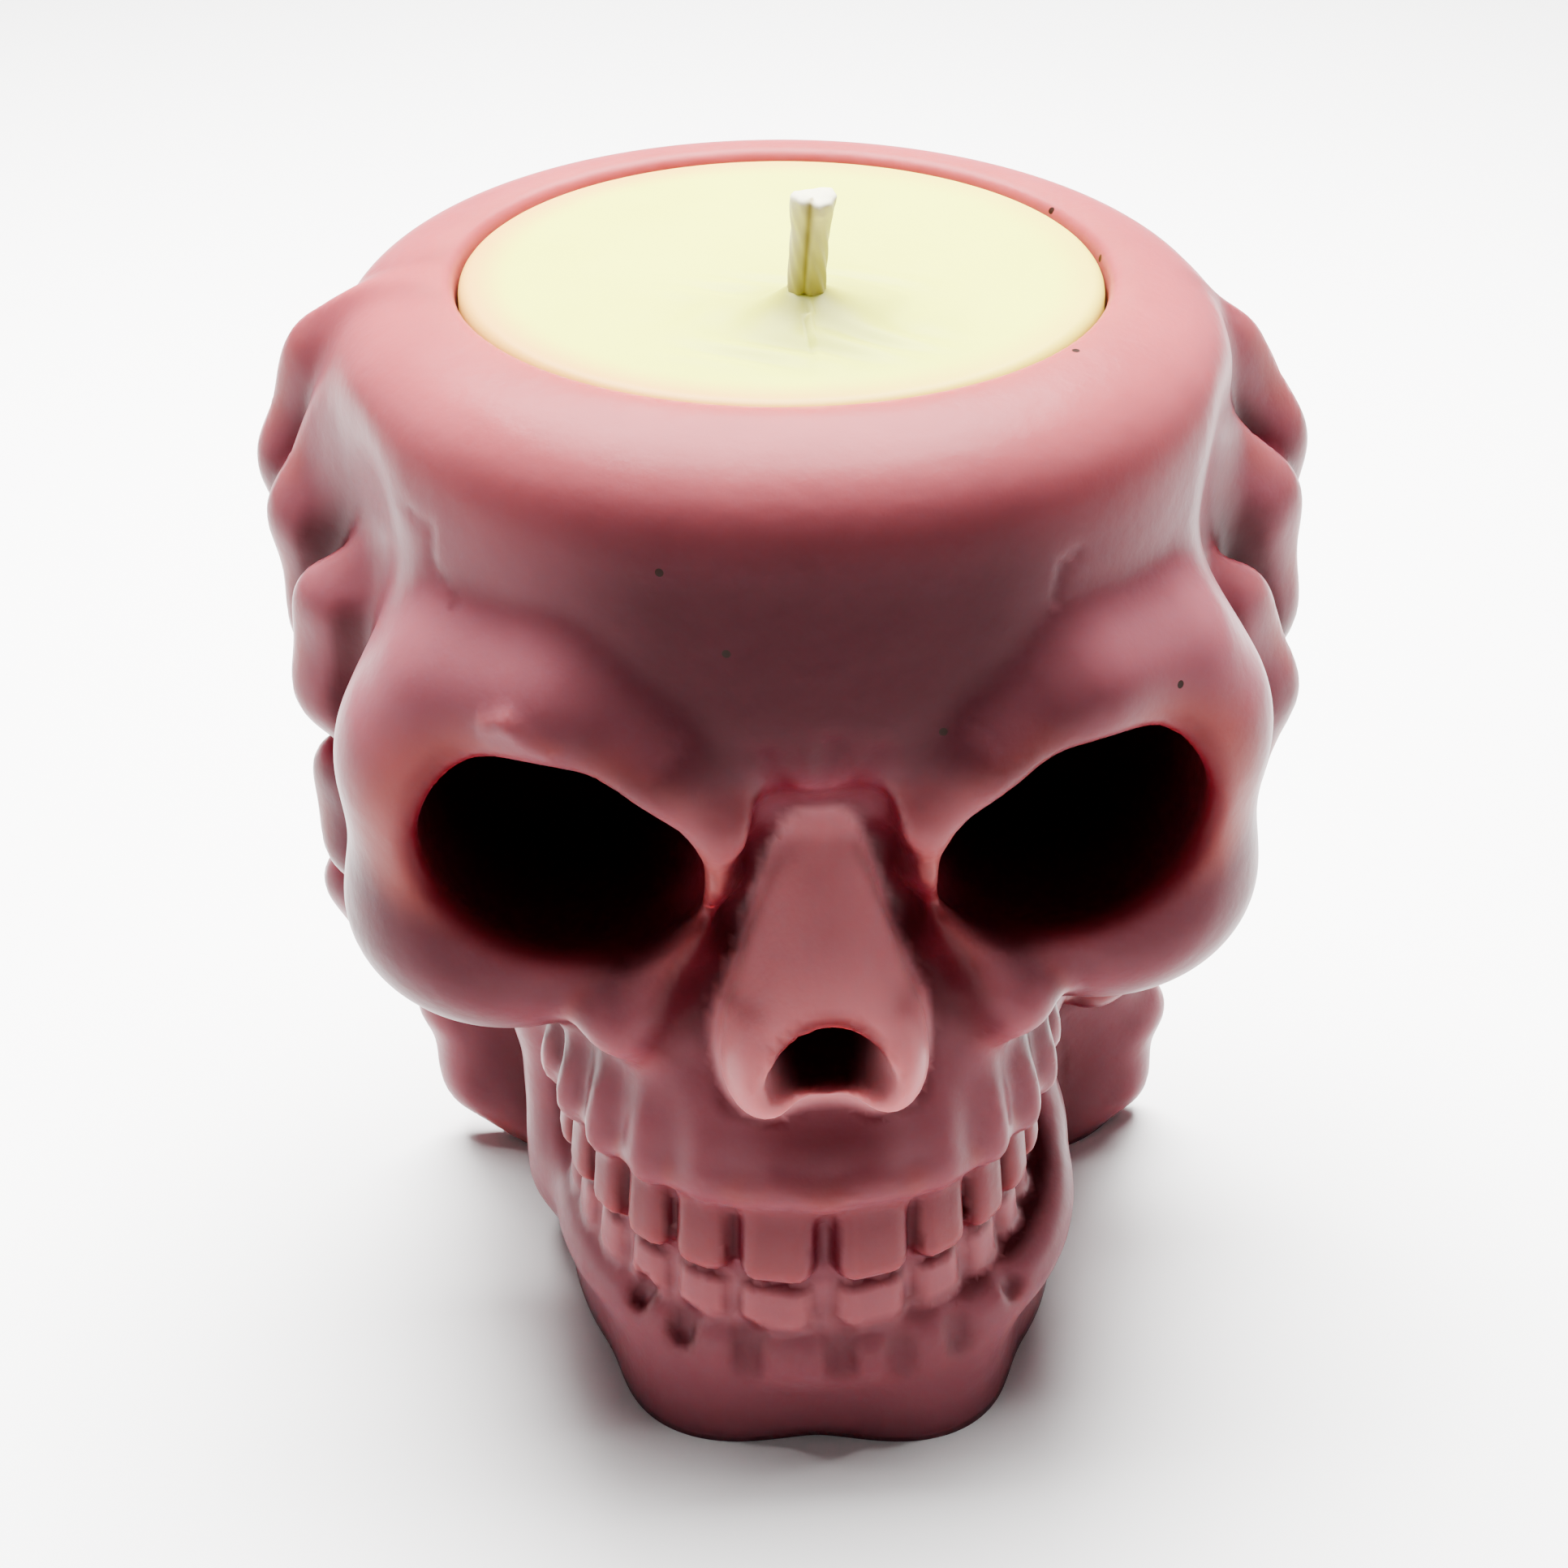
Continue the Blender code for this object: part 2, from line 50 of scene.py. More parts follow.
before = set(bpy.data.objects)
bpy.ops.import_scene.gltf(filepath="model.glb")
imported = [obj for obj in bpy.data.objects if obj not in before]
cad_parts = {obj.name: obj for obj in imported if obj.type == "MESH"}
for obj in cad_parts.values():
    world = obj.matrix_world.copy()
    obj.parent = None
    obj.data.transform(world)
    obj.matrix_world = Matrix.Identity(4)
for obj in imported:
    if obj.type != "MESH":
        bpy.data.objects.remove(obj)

# Places that the frame gives
SHELL_LOW, SHELL_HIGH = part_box("skull_shell")
FILL_LOW, FILL_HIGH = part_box("candle_fill")
WICK_LOW, WICK_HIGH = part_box("wick")
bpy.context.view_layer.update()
RIM_HEIGHT = SHELL_HIGH.z
BOWL_Y = (FILL_LOW.y + FILL_HIGH.y) / 2
FILL_RADIUS = (FILL_HIGH.x - FILL_LOW.x) / 2
BOWL_RADIUS = FILL_RADIUS + 0.0003
BOWL_FLOOR = FILL_LOW.z - 0.0003
WICK_X = (WICK_LOW.x + WICK_HIGH.x) / 2
WICK_Y = (WICK_LOW.y + WICK_HIGH.y) / 2
FILL_TOP = RIM_HEIGHT - 0.0015
WICK_SHORTER = 0.0014

# Crown, neck and bowl
CROWN_RADII = (0.0394, 0.0404)
CROWN_WIDEST_Z = 0.0830
CROWN_POWER = 4.6
NECK_RADII = (0.0228, 0.0260)
NECK_Y = 0.0110
NAPE_SPAN = (0.0300, 0.0760)
BASE_DEPTH = 0.0080
BOWL_CORNER = 0.0060
LIP_DISH = ((0.0, 0.0024, 0.1070), (0.0340, 0.0340, 0.0145))
TEMPLE_HOLLOW = ((0.0438, -0.0150, 0.0780), (0.0080, 0.0100, 0.0140))

# Face, on the +X side and mirrored: a form is its centre and radii, a line has (x, y, z, radius)
CHEEK_UPPER = ((0.0257, -0.0205, 0.0645), (0.0146, 0.0122, 0.0140))
CHEEK_LOWER = ((0.0252, -0.0195, 0.0500), (0.0152, 0.0142, 0.0122))
CHEEK_YAW = -0.35
BROW_LINE = ((0.0290, -0.0250, 0.0735, 0.0056), (0.0210, -0.0300, 0.0738, 0.0056),
             (0.0135, -0.0335, 0.0693, 0.0040), (0.0085, -0.0348, 0.0648, 0.0030))
SOCKET_RIM_LINE = ((0.0080, -0.0345, 0.0645, 0.0026), (0.0080, -0.0340, 0.0580, 0.0022),
                   (0.0108, -0.0340, 0.0505, 0.0026), (0.0165, -0.0325, 0.0450, 0.0042))
MIDFACE = ((0.0, -0.0205, 0.0520), (0.0150, 0.0118, 0.0160))
SOCKET_DISH = ((0.0245, -0.0410, 0.0575), (0.0132, 0.0100, 0.0118), -0.25, 0.42)
SOCKET_HOLE = ((0.0214, -0.0260, 0.0606), (0.0124, 0.0180, 0.0104), -0.10, 0.45)
NOSE_LINE = ((0.0, -0.0312, 0.0615, 0.0026), (0.0, -0.0352, 0.0466, 0.0080))
NOSE_WING = ((0.0052, -0.0380, 0.0430), (0.0036, 0.0056, 0.0050))
NOSE_GROOVE_LINE = ((0.0030, -0.0352, 0.0638, 0.0016), (0.0045, -0.0354, 0.0595, 0.0016),
                    (0.0068, -0.0358, 0.0540, 0.0020), (0.0092, -0.0372, 0.0490, 0.0026),
                    (0.0120, -0.0395, 0.0430, 0.0032))
NASION_NOTCH = ((-0.0034, -0.0354, 0.0643, 0.0017), (0.0034, -0.0354, 0.0643, 0.0017))
NOSTRIL_LINE = ((0.0, -0.0330, 0.0454, 0.0034), (0.0, -0.0470, 0.0444, 0.0040))
NOSTRIL_CORNER_LINE = ((0.0018, -0.0350, 0.0444, 0.0024), (0.0036, -0.0470, 0.0424, 0.0027))

# Jaws and teeth
MUZZLE_Y = -0.0150
MUZZLE_RADII = (0.0222, 0.0255)
MUZZLE_POWER = 2.2
MUZZLE_SPAN = (0.0282, 0.0480)
MUZZLE_TAPER = 0.16
GUM_Z = 0.0299
GUM_RADII = (0.0214, 0.0248)
GUM_ROLL = 0.0014
GUM_SCALLOP = 0.0010
ROOT_SPAN = (0.0300, 0.0420)
ROOT_SWELL = 0.0012
JAW_SHIFT = 0.0016
JAW_TURN = -0.05
JAW_Y = -0.0050
JAW_RADII = (0.0240, 0.0330)
JAW_POWER = 2.2
JAW_TOP = 0.0140
LEDGE_Z = 0.0104
LEDGE_RADII = (0.0215, 0.0226)
LEDGE_ROLL = 0.0030
CORE_RADII = (0.0205, 0.0239)
CORE_TOP = 0.0300
RAMUS_LINE = ((0.0205, -0.0060, 0.0080, 0.0050), (0.0210, -0.0055, 0.0280, 0.0050),
              (0.0220, -0.0040, 0.0400, 0.0056))
CHIN_RIGHT_LINE = ((0.0092, -0.0318, -0.0010, 0.0076), (0.0092, -0.0318, 0.0032, 0.0070))
CHIN_LEFT_LINE = ((-0.0088, -0.0300, -0.0010, 0.0076), (-0.0088, -0.0300, 0.0032, 0.0070))
ARCH_Y = -0.0150
ARCH_RADII = (0.0194, 0.0229)
TOOTH_WIDTHS = (0.0068, 0.0055, 0.0052, 0.0050, 0.0050, 0.0048)
TOOTH_DEPTH = 0.0056
TOOTH_GAP = 0.0002
MIDDLE_GAP = 0.0008
TOOTH_ROUND = 0.0018
TOOTH_LEAN = -0.10
UPPER_TEETH = (0.0194, 0.0315)
LOWER_TEETH = (0.0132, 0.0190)
LOWER_SET_BACK = 0.0006

# Side lobes, from the crown down: (x, y, z, half width, half height)
LOBES_RIGHT = ((0.0340, 0.0040, 0.0715, 0.0170, 0.0205), (0.0335, -0.0020, 0.0660, 0.0165, 0.0185),
               (0.0320, -0.0100, 0.0570, 0.0160, 0.0170), (0.0320, 0.0000, 0.0330, 0.0145, 0.0130),
               (0.0290, 0.0045, 0.0110, 0.0115, 0.0140))
LOBES_LEFT = ((0.0325, 0.0040, 0.0775, 0.0150, 0.0185), (0.0320, -0.0020, 0.0725, 0.0147, 0.0185),
              (0.0310, -0.0100, 0.0660, 0.0145, 0.0135), (0.0305, -0.0060, 0.0480, 0.0145, 0.0120),
              (0.0310, 0.0000, 0.0350, 0.0135, 0.0105), (0.0255, 0.0080, 0.0155, 0.0110, 0.0160))
LOBE_THICKNESS = 0.0092
LOBE_SWEEP = 0.40
LOBE_RIPPLE = 0.0005

# Small marks of the casting: lines of (x, y, z, radius)
JAW_PITS = (((-0.0156, -0.0322, 0.0138, 0.0007), (-0.0160, -0.0320, 0.0122, 0.0006)),
            ((-0.0124, -0.0360, 0.0128, 0.0009), (-0.0126, -0.0360, 0.0112, 0.0009)),
            ((-0.0070, -0.0392, 0.0128, 0.0010), (-0.0070, -0.0396, 0.0098, 0.0009)),
            ((0.0014, -0.0408, 0.0128, 0.0009), (0.0015, -0.0410, 0.0098, 0.0009)),
            ((0.0070, -0.0404, 0.0118, 0.0008), (0.0071, -0.0406, 0.0094, 0.0007)),
            ((0.0124, -0.0384, 0.0120, 0.0010), (0.0126, -0.0386, 0.0102, 0.0009)),
            ((0.0175, -0.0336, 0.0138, 0.0007), (0.0180, -0.0334, 0.0120, 0.0007)))
FROWN_FOLDS = (((-0.0046, -0.0377, 0.0712, 0.0004), (-0.0034, -0.0358, 0.0662, 0.0009)),
               ((0.0004, -0.0381, 0.0725, 0.0004), (0.0002, -0.0362, 0.0660, 0.0010)),
               ((0.0040, -0.0377, 0.0712, 0.0004), (0.0030, -0.0358, 0.0662, 0.0009)))
SCARS = (((-0.0335, -0.0192, 0.0871, 0.0001), (-0.0309, -0.0232, 0.0864, 0.0002),
          (-0.0310, -0.0230, 0.0834, 0.0002), (-0.0292, -0.0259, 0.0811, 0.0001)),
         ((0.0186, -0.0334, 0.0828, 0.0002), (0.0193, -0.0330, 0.0855, 0.0004),
          (0.0206, -0.0323, 0.0865, 0.0002)))
FLAP_LINE = ((-0.0268, -0.0338, 0.0740, 0.0003), (-0.0252, -0.0350, 0.0748, 0.0004),
             (-0.0221, -0.0361, 0.0727, 0.0003))
SPECKS = ((0.0256, 0.0148, 0.0969), (0.0282, 0.0043, 0.0964), (0.0222, -0.0178, 0.0975),
          (0.0296, -0.0318, 0.0738), (0.0094, -0.0369, 0.0734), (-0.0129, -0.0357, 0.0881),
          (-0.0079, -0.0372, 0.0815), (-0.0417, 0.0055, 0.0898))
SPECK_RADIUS = 0.00035

# Masks of painted light and shade on the skull. A band is where a mask begins and where it is full, in metres
# if not a share
HOLLOW_REACHES = (0.003, 0.007, 0.013)
HOLLOW_BAND = (0.13, 0.55)
THIN_DEPTH = 0.004
THIN_BAND = (0.25, 0.90)
LIT_BAND = (0.084, 0.104)
FACING_UP_BAND = (0.1, 0.8)
FRONT_BAND = (0.016, 0.026)
FOREHEAD_FRONT_BAND = (0.016, 0.030)
FOREHEAD_SIDE_BAND = (0.012, 0.030)
FOREHEAD_FOOT_BAND = (0.064, 0.072)
FOREHEAD_TOP_BAND = (0.084, 0.100)
CHEEK_SIDE_BAND = (0.014, 0.034)
CHEEK_FOOT_BAND = (0.030, 0.040)
CHEEK_TOP_BAND = (0.054, 0.066)
CHEEK_SHADE_LEFT, CHEEK_SHADE_RIGHT = 0.72, 0.50
NOSE_BAND = (0.0004, 0.0016)
LOWER_ROW_FOOT_BAND = (0.0128, 0.0145)
LOWER_ROW_TOP_BAND = (0.0180, 0.0192)
SOCKET_BAND = (0.0008, 0.0030)
SOCKET_WALL_BAND = (-0.0375, -0.0310)
SOCKET_DEEP_BAND = (-0.0300, -0.0150)
NOSTRIL_BAND = (0.0006, 0.0016)
NOSTRIL_WALL_BAND = (-0.0455, -0.0430)
NOSTRIL_DEEP_BAND = (-0.0440, -0.0385)
GROOVE_BAND = (0.0002, 0.0024)

# Shaded places of the front: (half width, height, half height, strength), for under the nose,
# under the gum and at the notch between the eyes
SHADED_PLACES = ((0.0085, 0.0350, 0.0042, 0.95), (math.inf, 0.0262, 0.0032, 0.45),
                 (0.0065, 0.0645, 0.0028, 0.75))

# Fill and wick
FILL_EDGE = 0.0012
FILL_COLUMNS = 256
MOUND_CORE = 0.0014
MOUND_TAILS = (0.0026, 0.0042)
WRINKLE_RING = (0.0085, 0.0040)
BORDER_WIDTH = (0.0050, 0.0006)
DRAWN_SHIFT = 0.0008
DRAWN_REACH = 0.0070
WICK_RADIUS = 0.0016
WICK_BURIED = 0.0040
WICK_COLUMNS = 72
WICK_GROOVE = (1.42 * math.pi, 0.22, 0.16)
STRAND_HEIGHT = 0.00005


def smoothstep(value, low, high):
    """0 below low, 1 above high, and an S-shaped rise between them."""
    share = np.clip((value - low) / (high - low), 0, 1)
    return share * share * (3 - 2 * share)


def falling(value, low, high):
    """1 below low, 0 above high, and an S-shaped fall between them."""
    return 1 - smoothstep(value, low, high)


def join(a, b, fillet):
    """Union of two distance fields, its joint filled with a fillet of about that width."""
    share = np.clip(0.5 + 0.5 * (b - a) / fillet, 0, 1)
    return b + (a - b) * share - fillet * share * (1 - share)


def carve(a, b, edge):
    """Field a with b cut out of it, the cut's rim rounded over about edge."""
    return -join(-a, b, edge)


def turned(x, y, angle):
    """The two coordinates of points seen from axes turned by angle."""
    c, s = math.cos(angle), math.sin(angle)
    return c * x + s * y, -s * x + c * y


def ball(p, centre, radii, yaw=0.0, roll=0.0):
    """Distance to an ellipsoid turned by yaw about Z and then by roll about Y.

    Near its skin that is k (k - 1) / |grad k|, where k is the point's distance in radii.
    """
    x, y, z = (axis - middle for axis, middle in zip(p, centre))
    if yaw:
        x, y = turned(x, y, yaw)
    if roll:
        x, z = turned(x, z, roll)
    scaled = [axis / radius for axis, radius in zip((x, y, z), radii)]
    reach = np.sqrt(sum(axis * axis for axis in scaled))
    slope = np.sqrt(sum((axis / radius) ** 2 for axis, radius in zip(scaled, radii)))
    return reach * (reach - 1) / np.maximum(slope, 1e-6)


def limb(p, start, end):
    """Distance to a round bar from start to end, each (x, y, z, radius)."""
    along = np.subtract(end[:3], start[:3])
    x, y, z = (axis - first for axis, first in zip(p, start[:3]))
    share = np.clip((x * along[0] + y * along[1] + z * along[2]) / np.dot(along, along), 0, 1)
    off = np.sqrt((x - share * along[0]) ** 2 + (y - share * along[1]) ** 2 + (z - share * along[2]) ** 2)
    return off - (start[3] + share * (end[3] - start[3]))


def chain(p, line, fillet=0.004):
    """Bars laid end to end through the line's (x, y, z, radius) and joined."""
    shape = limb(p, line[0], line[1])
    for start, end in zip(line[1:-1], line[2:]):
        shape = join(shape, limb(p, start, end), fillet)
    return shape


def rounded(side, lid, edge):
    """Where both distances are negative a body is inside; its rim is rounded by edge."""
    side, lid = side + edge, lid + edge
    outside = np.sqrt(np.maximum(side, 0) ** 2 + np.maximum(lid, 0) ** 2)
    return np.minimum(np.maximum(side, lid), 0) + outside - edge


def column(p, centre_y, radii, power, span, edge):
    """An upright column between the span's two heights, whose plan is a superellipse."""
    reach = (np.abs(p[0] / radii[0]) ** power + np.abs((p[1] - centre_y) / radii[1]) ** power) ** (1 / power)
    lid = np.abs(p[2] - sum(span) / 2) - (span[1] - span[0]) / 2
    return rounded((reach - 1) * min(radii), lid, edge)


def crown(p):
    """Neck and cranium: ellipses that swell at the nape, closed by a superelliptic shoulder.

    The plan radii go from the neck's to the crown's with an S-shaped rise. Above the widest
    height the field is (reach^n + lift^n)^(1/n) = 1, with reach in plan radii and lift the
    share of the way up to the rim.
    """
    x, y, z = p
    swell = smoothstep(z, *NAPE_SPAN)
    across, along = (neck + (full - neck) * swell for neck, full in zip(NECK_RADII, CROWN_RADII))
    middle = NECK_Y + (BOWL_Y - NECK_Y) * swell
    reach = np.maximum(np.sqrt((x / across) ** 2 + ((y - middle) / along) ** 2), 0.01)
    height = RIM_HEIGHT - CROWN_WIDEST_Z
    lift = np.maximum(z - CROWN_WIDEST_Z, 0) / height
    total = (reach ** CROWN_POWER + lift ** CROWN_POWER) ** (1 / CROWN_POWER)
    falling = total ** (1 - CROWN_POWER)
    outward = reach ** (CROWN_POWER - 1) * 2 / (across + along)
    upward = lift ** (CROWN_POWER - 1) / height
    slope = falling * np.hypot(outward, upward)
    temple = ball((np.abs(x), y, z), *TEMPLE_HOLLOW)
    return carve((total - 1) / slope, temple, 0.006)


def arch_places(set_back):
    """Tooth places walked outwards along the elliptical arch: (x, y, facing, width)."""
    across, along = ARCH_RADII[0] - set_back, ARCH_RADII[1] - set_back
    angle = MIDDLE_GAP / 2 / across
    for width in TOOTH_WIDTHS:
        half_step = width / 2 / math.hypot(across * math.cos(angle), along * math.sin(angle))
        angle += half_step
        facing = math.atan2(along * math.sin(angle), across * math.cos(angle))
        yield across * math.sin(angle), ARCH_Y - along * math.cos(angle), facing, width
        angle += half_step


def tooth(p, place, span):
    """A leaning box with rounded edges."""
    x, y, z = p[0] - place[0], p[1] - place[1], p[2] - sum(span) / 2
    x, y = turned(x, y, place[2])
    y, z = turned(y, z, TOOTH_LEAN)
    half = ((place[3] - TOOTH_GAP) / 2, TOOTH_DEPTH / 2, (span[1] - span[0]) / 2)
    over = [np.abs(axis) - size + TOOTH_ROUND for axis, size in zip((x, y, z), half)]
    outside = np.sqrt(sum(np.maximum(axis, 0) ** 2 for axis in over))
    return outside + np.minimum(np.maximum(over[0], np.maximum(over[1], over[2])), 0) - TOOTH_ROUND


def teeth(p):
    """The two rows of teeth, joined where they touch."""
    shape = None
    for set_back, span in ((0.0, UPPER_TEETH), (LOWER_SET_BACK, LOWER_TEETH)):
        for place in arch_places(set_back):
            one = tooth(p, place, span)
            shape = one if shape is None else join(shape, one, 0.0006)
    return shape


def roll(p, centre_y, radii, height, radius):
    """A round bar bent round an ellipse at a height, which may be one value for each point."""
    reach = np.sqrt((p[0] / radii[0]) ** 2 + ((p[1] - centre_y) / radii[1]) ** 2)
    return np.hypot((reach - 1) * radii[0], p[2] - height) - radius


def muzzle(p):
    """The upper jaw: a column that swells over the roots and ends in a rolled, scalloped gum.

    The phase runs from 0 to 1 across each tooth of the arch, so sin^2 of it peaks mid-tooth.
    """
    across, along = ARCH_RADII
    ends, angle = [0.0], 0.0
    for width in TOOTH_WIDTHS:
        for _ in range(2):
            angle += width / 2 / math.hypot(across * math.cos(angle), along * math.sin(angle))
        ends.append(angle)
    turn = np.arctan2(np.abs(p[0]) / across, (ARCH_Y - p[1]) / along)
    crest = np.sin(math.pi * np.interp(turn, ends, range(len(ends)))) ** 2 * (turn < ends[-1])
    swell = ROOT_SWELL * (0.2 + turn) * crest * smoothstep(-p[2], -ROOT_SPAN[1], -ROOT_SPAN[0])
    taper = 1 + MUZZLE_TAPER * smoothstep(p[2], GUM_Z, MUZZLE_SPAN[1])
    tapered = (p[0] * taper, MUZZLE_Y + (p[1] - MUZZLE_Y) * taper, p[2])
    body = column(tapered, MUZZLE_Y, MUZZLE_RADII, MUZZLE_POWER, MUZZLE_SPAN, 0.0016) - swell
    gum_height = GUM_Z + GUM_SCALLOP * (crest - 0.5)
    return join(body, roll(p, MUZZLE_Y, GUM_RADII, gum_height, GUM_ROLL), 0.0015)


def jaw(p):
    """The lower jaw, a little right of the middle and a little turned, and its two branches."""
    x, y = turned(p[0] - JAW_SHIFT, p[1] - ARCH_Y, JAW_TURN)
    moved = (x, y + ARCH_Y, p[2])
    body = column(moved, JAW_Y, JAW_RADII, JAW_POWER, (-BASE_DEPTH, JAW_TOP), 0.0035)
    body = join(body, roll(moved, ARCH_Y, LEDGE_RADII, LEDGE_Z, LEDGE_ROLL), 0.004)
    branches = chain((np.abs(p[0]), p[1], p[2]), RAMUS_LINE)
    core = column(p, ARCH_Y, CORE_RADII, 2.0, (0.0, CORE_TOP), 0.003)
    shape = join(join(body, branches, 0.005), core, 0.002)
    for line in (CHIN_RIGHT_LINE, CHIN_LEFT_LINE):
        shape = join(shape, limb(p, *line), 0.005)
    return shape


def face(p):
    """Cheeks, brow, nose, jaws and teeth joined to the crown, with their folds and pits."""
    q = (np.abs(p[0]), p[1], p[2])
    cheeks = join(ball(q, *CHEEK_UPPER, yaw=CHEEK_YAW), ball(q, *CHEEK_LOWER, yaw=CHEEK_YAW), 0.006)
    shape = join(crown(p), cheeks, 0.006)
    brow = join(chain(q, BROW_LINE), chain(q, SOCKET_RIM_LINE), 0.003)
    shape = join(shape, brow, 0.0035)
    shape = join(shape, ball(p, *MIDFACE), 0.004)
    shape = join(shape, muzzle(p), 0.006)
    shape = carve(shape, chain(q, NOSE_GROOVE_LINE, 0.003), 0.0040)
    for fold in FROWN_FOLDS:
        shape = carve(shape, limb(p, *fold), 0.0022)
    shape = carve(shape, limb(p, *NASION_NOTCH), 0.0025)
    nose = join(limb(p, *NOSE_LINE), ball(q, *NOSE_WING), 0.002)
    shape = join(shape, nose, 0.0014)
    shape = join(shape, jaw(p), 0.003)
    shape = join(shape, teeth(q), 0.0008)
    for pit in JAW_PITS:
        shape = carve(shape, limb(p, *pit), 0.0018)
    for scar in SCARS:
        shape = carve(shape, chain(p, scar, 0.0004), 0.0009)
    return shape


def lobes(p):
    """Rounded lobes swept back from the face, each pressed in at the front like a petal."""
    shape = None
    for side, rows in ((1, LOBES_RIGHT), (-1, LOBES_LEFT)):
        q = (side * p[0], p[1], p[2])
        for x, y, z, half_width, half_height in rows:
            petal = ball(q, (x, y, z), (half_width, LOBE_THICKNESS / 2, half_height), LOBE_SWEEP)
            across, up = q[0] - x, q[2] - z
            edge = smoothstep(np.hypot(across / half_width, up / half_height), 0.45, 0.95)
            petal = petal + LOBE_RIPPLE * edge * np.sin(7 * np.arctan2(up, across) + 300 * z)
            dish_radii = (half_width * 0.80, 0.0042, half_height * 0.80)
            dish = ball(q, (x + 0.0005, y - 0.0062, z - 0.001), dish_radii, LOBE_SWEEP)
            petal = carve(petal, dish, 0.0025)
            shape = petal if shape is None else join(shape, petal, 0.0020)
    return shape


def bowl(p):
    """The bowl: a round well with a rounded corner at its floor."""
    side = np.hypot(p[0], p[1] - BOWL_Y) - BOWL_RADIUS
    return rounded(side, BOWL_FLOOR - p[2], BOWL_CORNER)


def skull_field(x, y, z):
    """Signed distance to the whole skull, negative inside the wax."""
    p, q = (x, y, z), (np.abs(x), y, z)
    shape = join(face(p), lobes(p), 0.003)
    shape = carve(shape, ball(q, *SOCKET_DISH), 0.005)
    shape = carve(shape, ball(q, *SOCKET_HOLE), 0.0022)
    nostril = join(limb(q, *NOSTRIL_LINE), limb(q, *NOSTRIL_CORNER_LINE), 0.0015)
    shape = carve(shape, nostril, 0.0014)
    shape = join(shape, chain(p, FLAP_LINE, 0.0010), 0.0015)
    shape = carve(shape, ball(p, *LIP_DISH), 0.003)
    return carve(shape, bowl(p), 0.0015)


def cut_field(x, y, z):
    """The skull's field, cut flat at the table."""
    return np.maximum(skull_field(x, y, z), -z)


def sampled(field, low, high, step):
    """The field's values on an even grid between two corners, a few sheets at a time."""
    axes = [np.arange(first, last + step, step, dtype=np.float32) for first, last in zip(low, high)]
    values = np.empty([len(axis) for axis in axes], np.float32)
    y, z = np.meshgrid(axes[1], axes[2], indexing="ij")
    sheets = 8
    for first in range(0, len(axes[0]), sheets):
        x = axes[0][first:first + sheets, None, None]
        values[first:first + sheets] = field(*np.broadcast_arrays(x, y[None], z[None]))
    return axes, values


def zero_surface(axes, values):
    """Quads of the surface where the grid's values change sign.

    Each cell that the surface crosses gets one point, the mean of the crossings on its edges,
    and each grid edge that it crosses gets one quad between the four cells round that edge.
    """
    inside = values < 0
    cells = np.array(values.shape) - 1
    corners = [(i, j, k) for i in (0, 1) for j in (0, 1) for k in (0, 1)]

    def at(corner):
        return tuple(slice(shift, shift + size) for shift, size in zip(corner, cells))

    count = sum(inside[at(corner)].astype(np.int8) for corner in corners)
    crossed = np.argwhere((count > 0) & (count < 8))
    number = np.full(cells, -1, np.int64)
    number[tuple(crossed.T)] = np.arange(len(crossed))
    total = np.zeros((len(crossed), 3))
    hits = np.zeros(len(crossed))
    for corner in corners:
        for axis in range(3):
            if corner[axis]:
                continue
            other = np.add(corner, np.eye(3, dtype=int)[axis])
            a = values[tuple((crossed + corner).T)]
            b = values[tuple((crossed + other).T)]
            change = (a < 0) != (b < 0)
            point = np.tile(np.array(corner, float), (len(crossed), 1))
            point[:, axis] += np.where(change, a / np.where(change, a - b, 1), 0)
            total += point * change[:, None]
            hits += change
    spacing = np.array([axis[1] - axis[0] for axis in axes])
    origin = np.array([axis[0] for axis in axes])
    points = origin + (crossed + total / hits[:, None]) * spacing
    quads = []
    for axis in range(3):
        u, v = np.eye(3, dtype=int)[[(axis + 1) % 3, (axis + 2) % 3]]
        lower = tuple(slice(0, -1) if i == axis else slice(None) for i in range(3))
        upper = tuple(slice(1, None) if i == axis else slice(None) for i in range(3))
        edges = np.argwhere(inside[lower] != inside[upper])
        loop = np.stack([number[tuple((edges - shift).T)] for shift in (u + v, v, 0 * u, u)], 1)
        outward = inside[tuple(edges.T)]
        quads.append(np.where(outward[:, None], loop, loop[:, ::-1]))
    return points, np.concatenate(quads)


def gradient(field, points, step=0.00005):
    """The field's value and its slope along X, Y and Z at the points."""
    value = field(*points.T)
    slopes = [(field(*(points + shift).T) - field(*(points - shift).T)) / (2 * step)
              for shift in np.eye(3) * step]
    return value, np.stack(slopes, 1)


def settle(field, points, limit, rounds=2, flat=False):
    """Points moved along the slope onto the zero surface, each round by at most limit."""
    for _ in range(rounds):
        value, slope = gradient(field, points)
        if flat:
            slope[:, 2] = 0
        move = -value / np.maximum((slope ** 2).sum(1), 0.05)
        points = points + slope * np.clip(move, -limit, limit)[:, None]
    return points


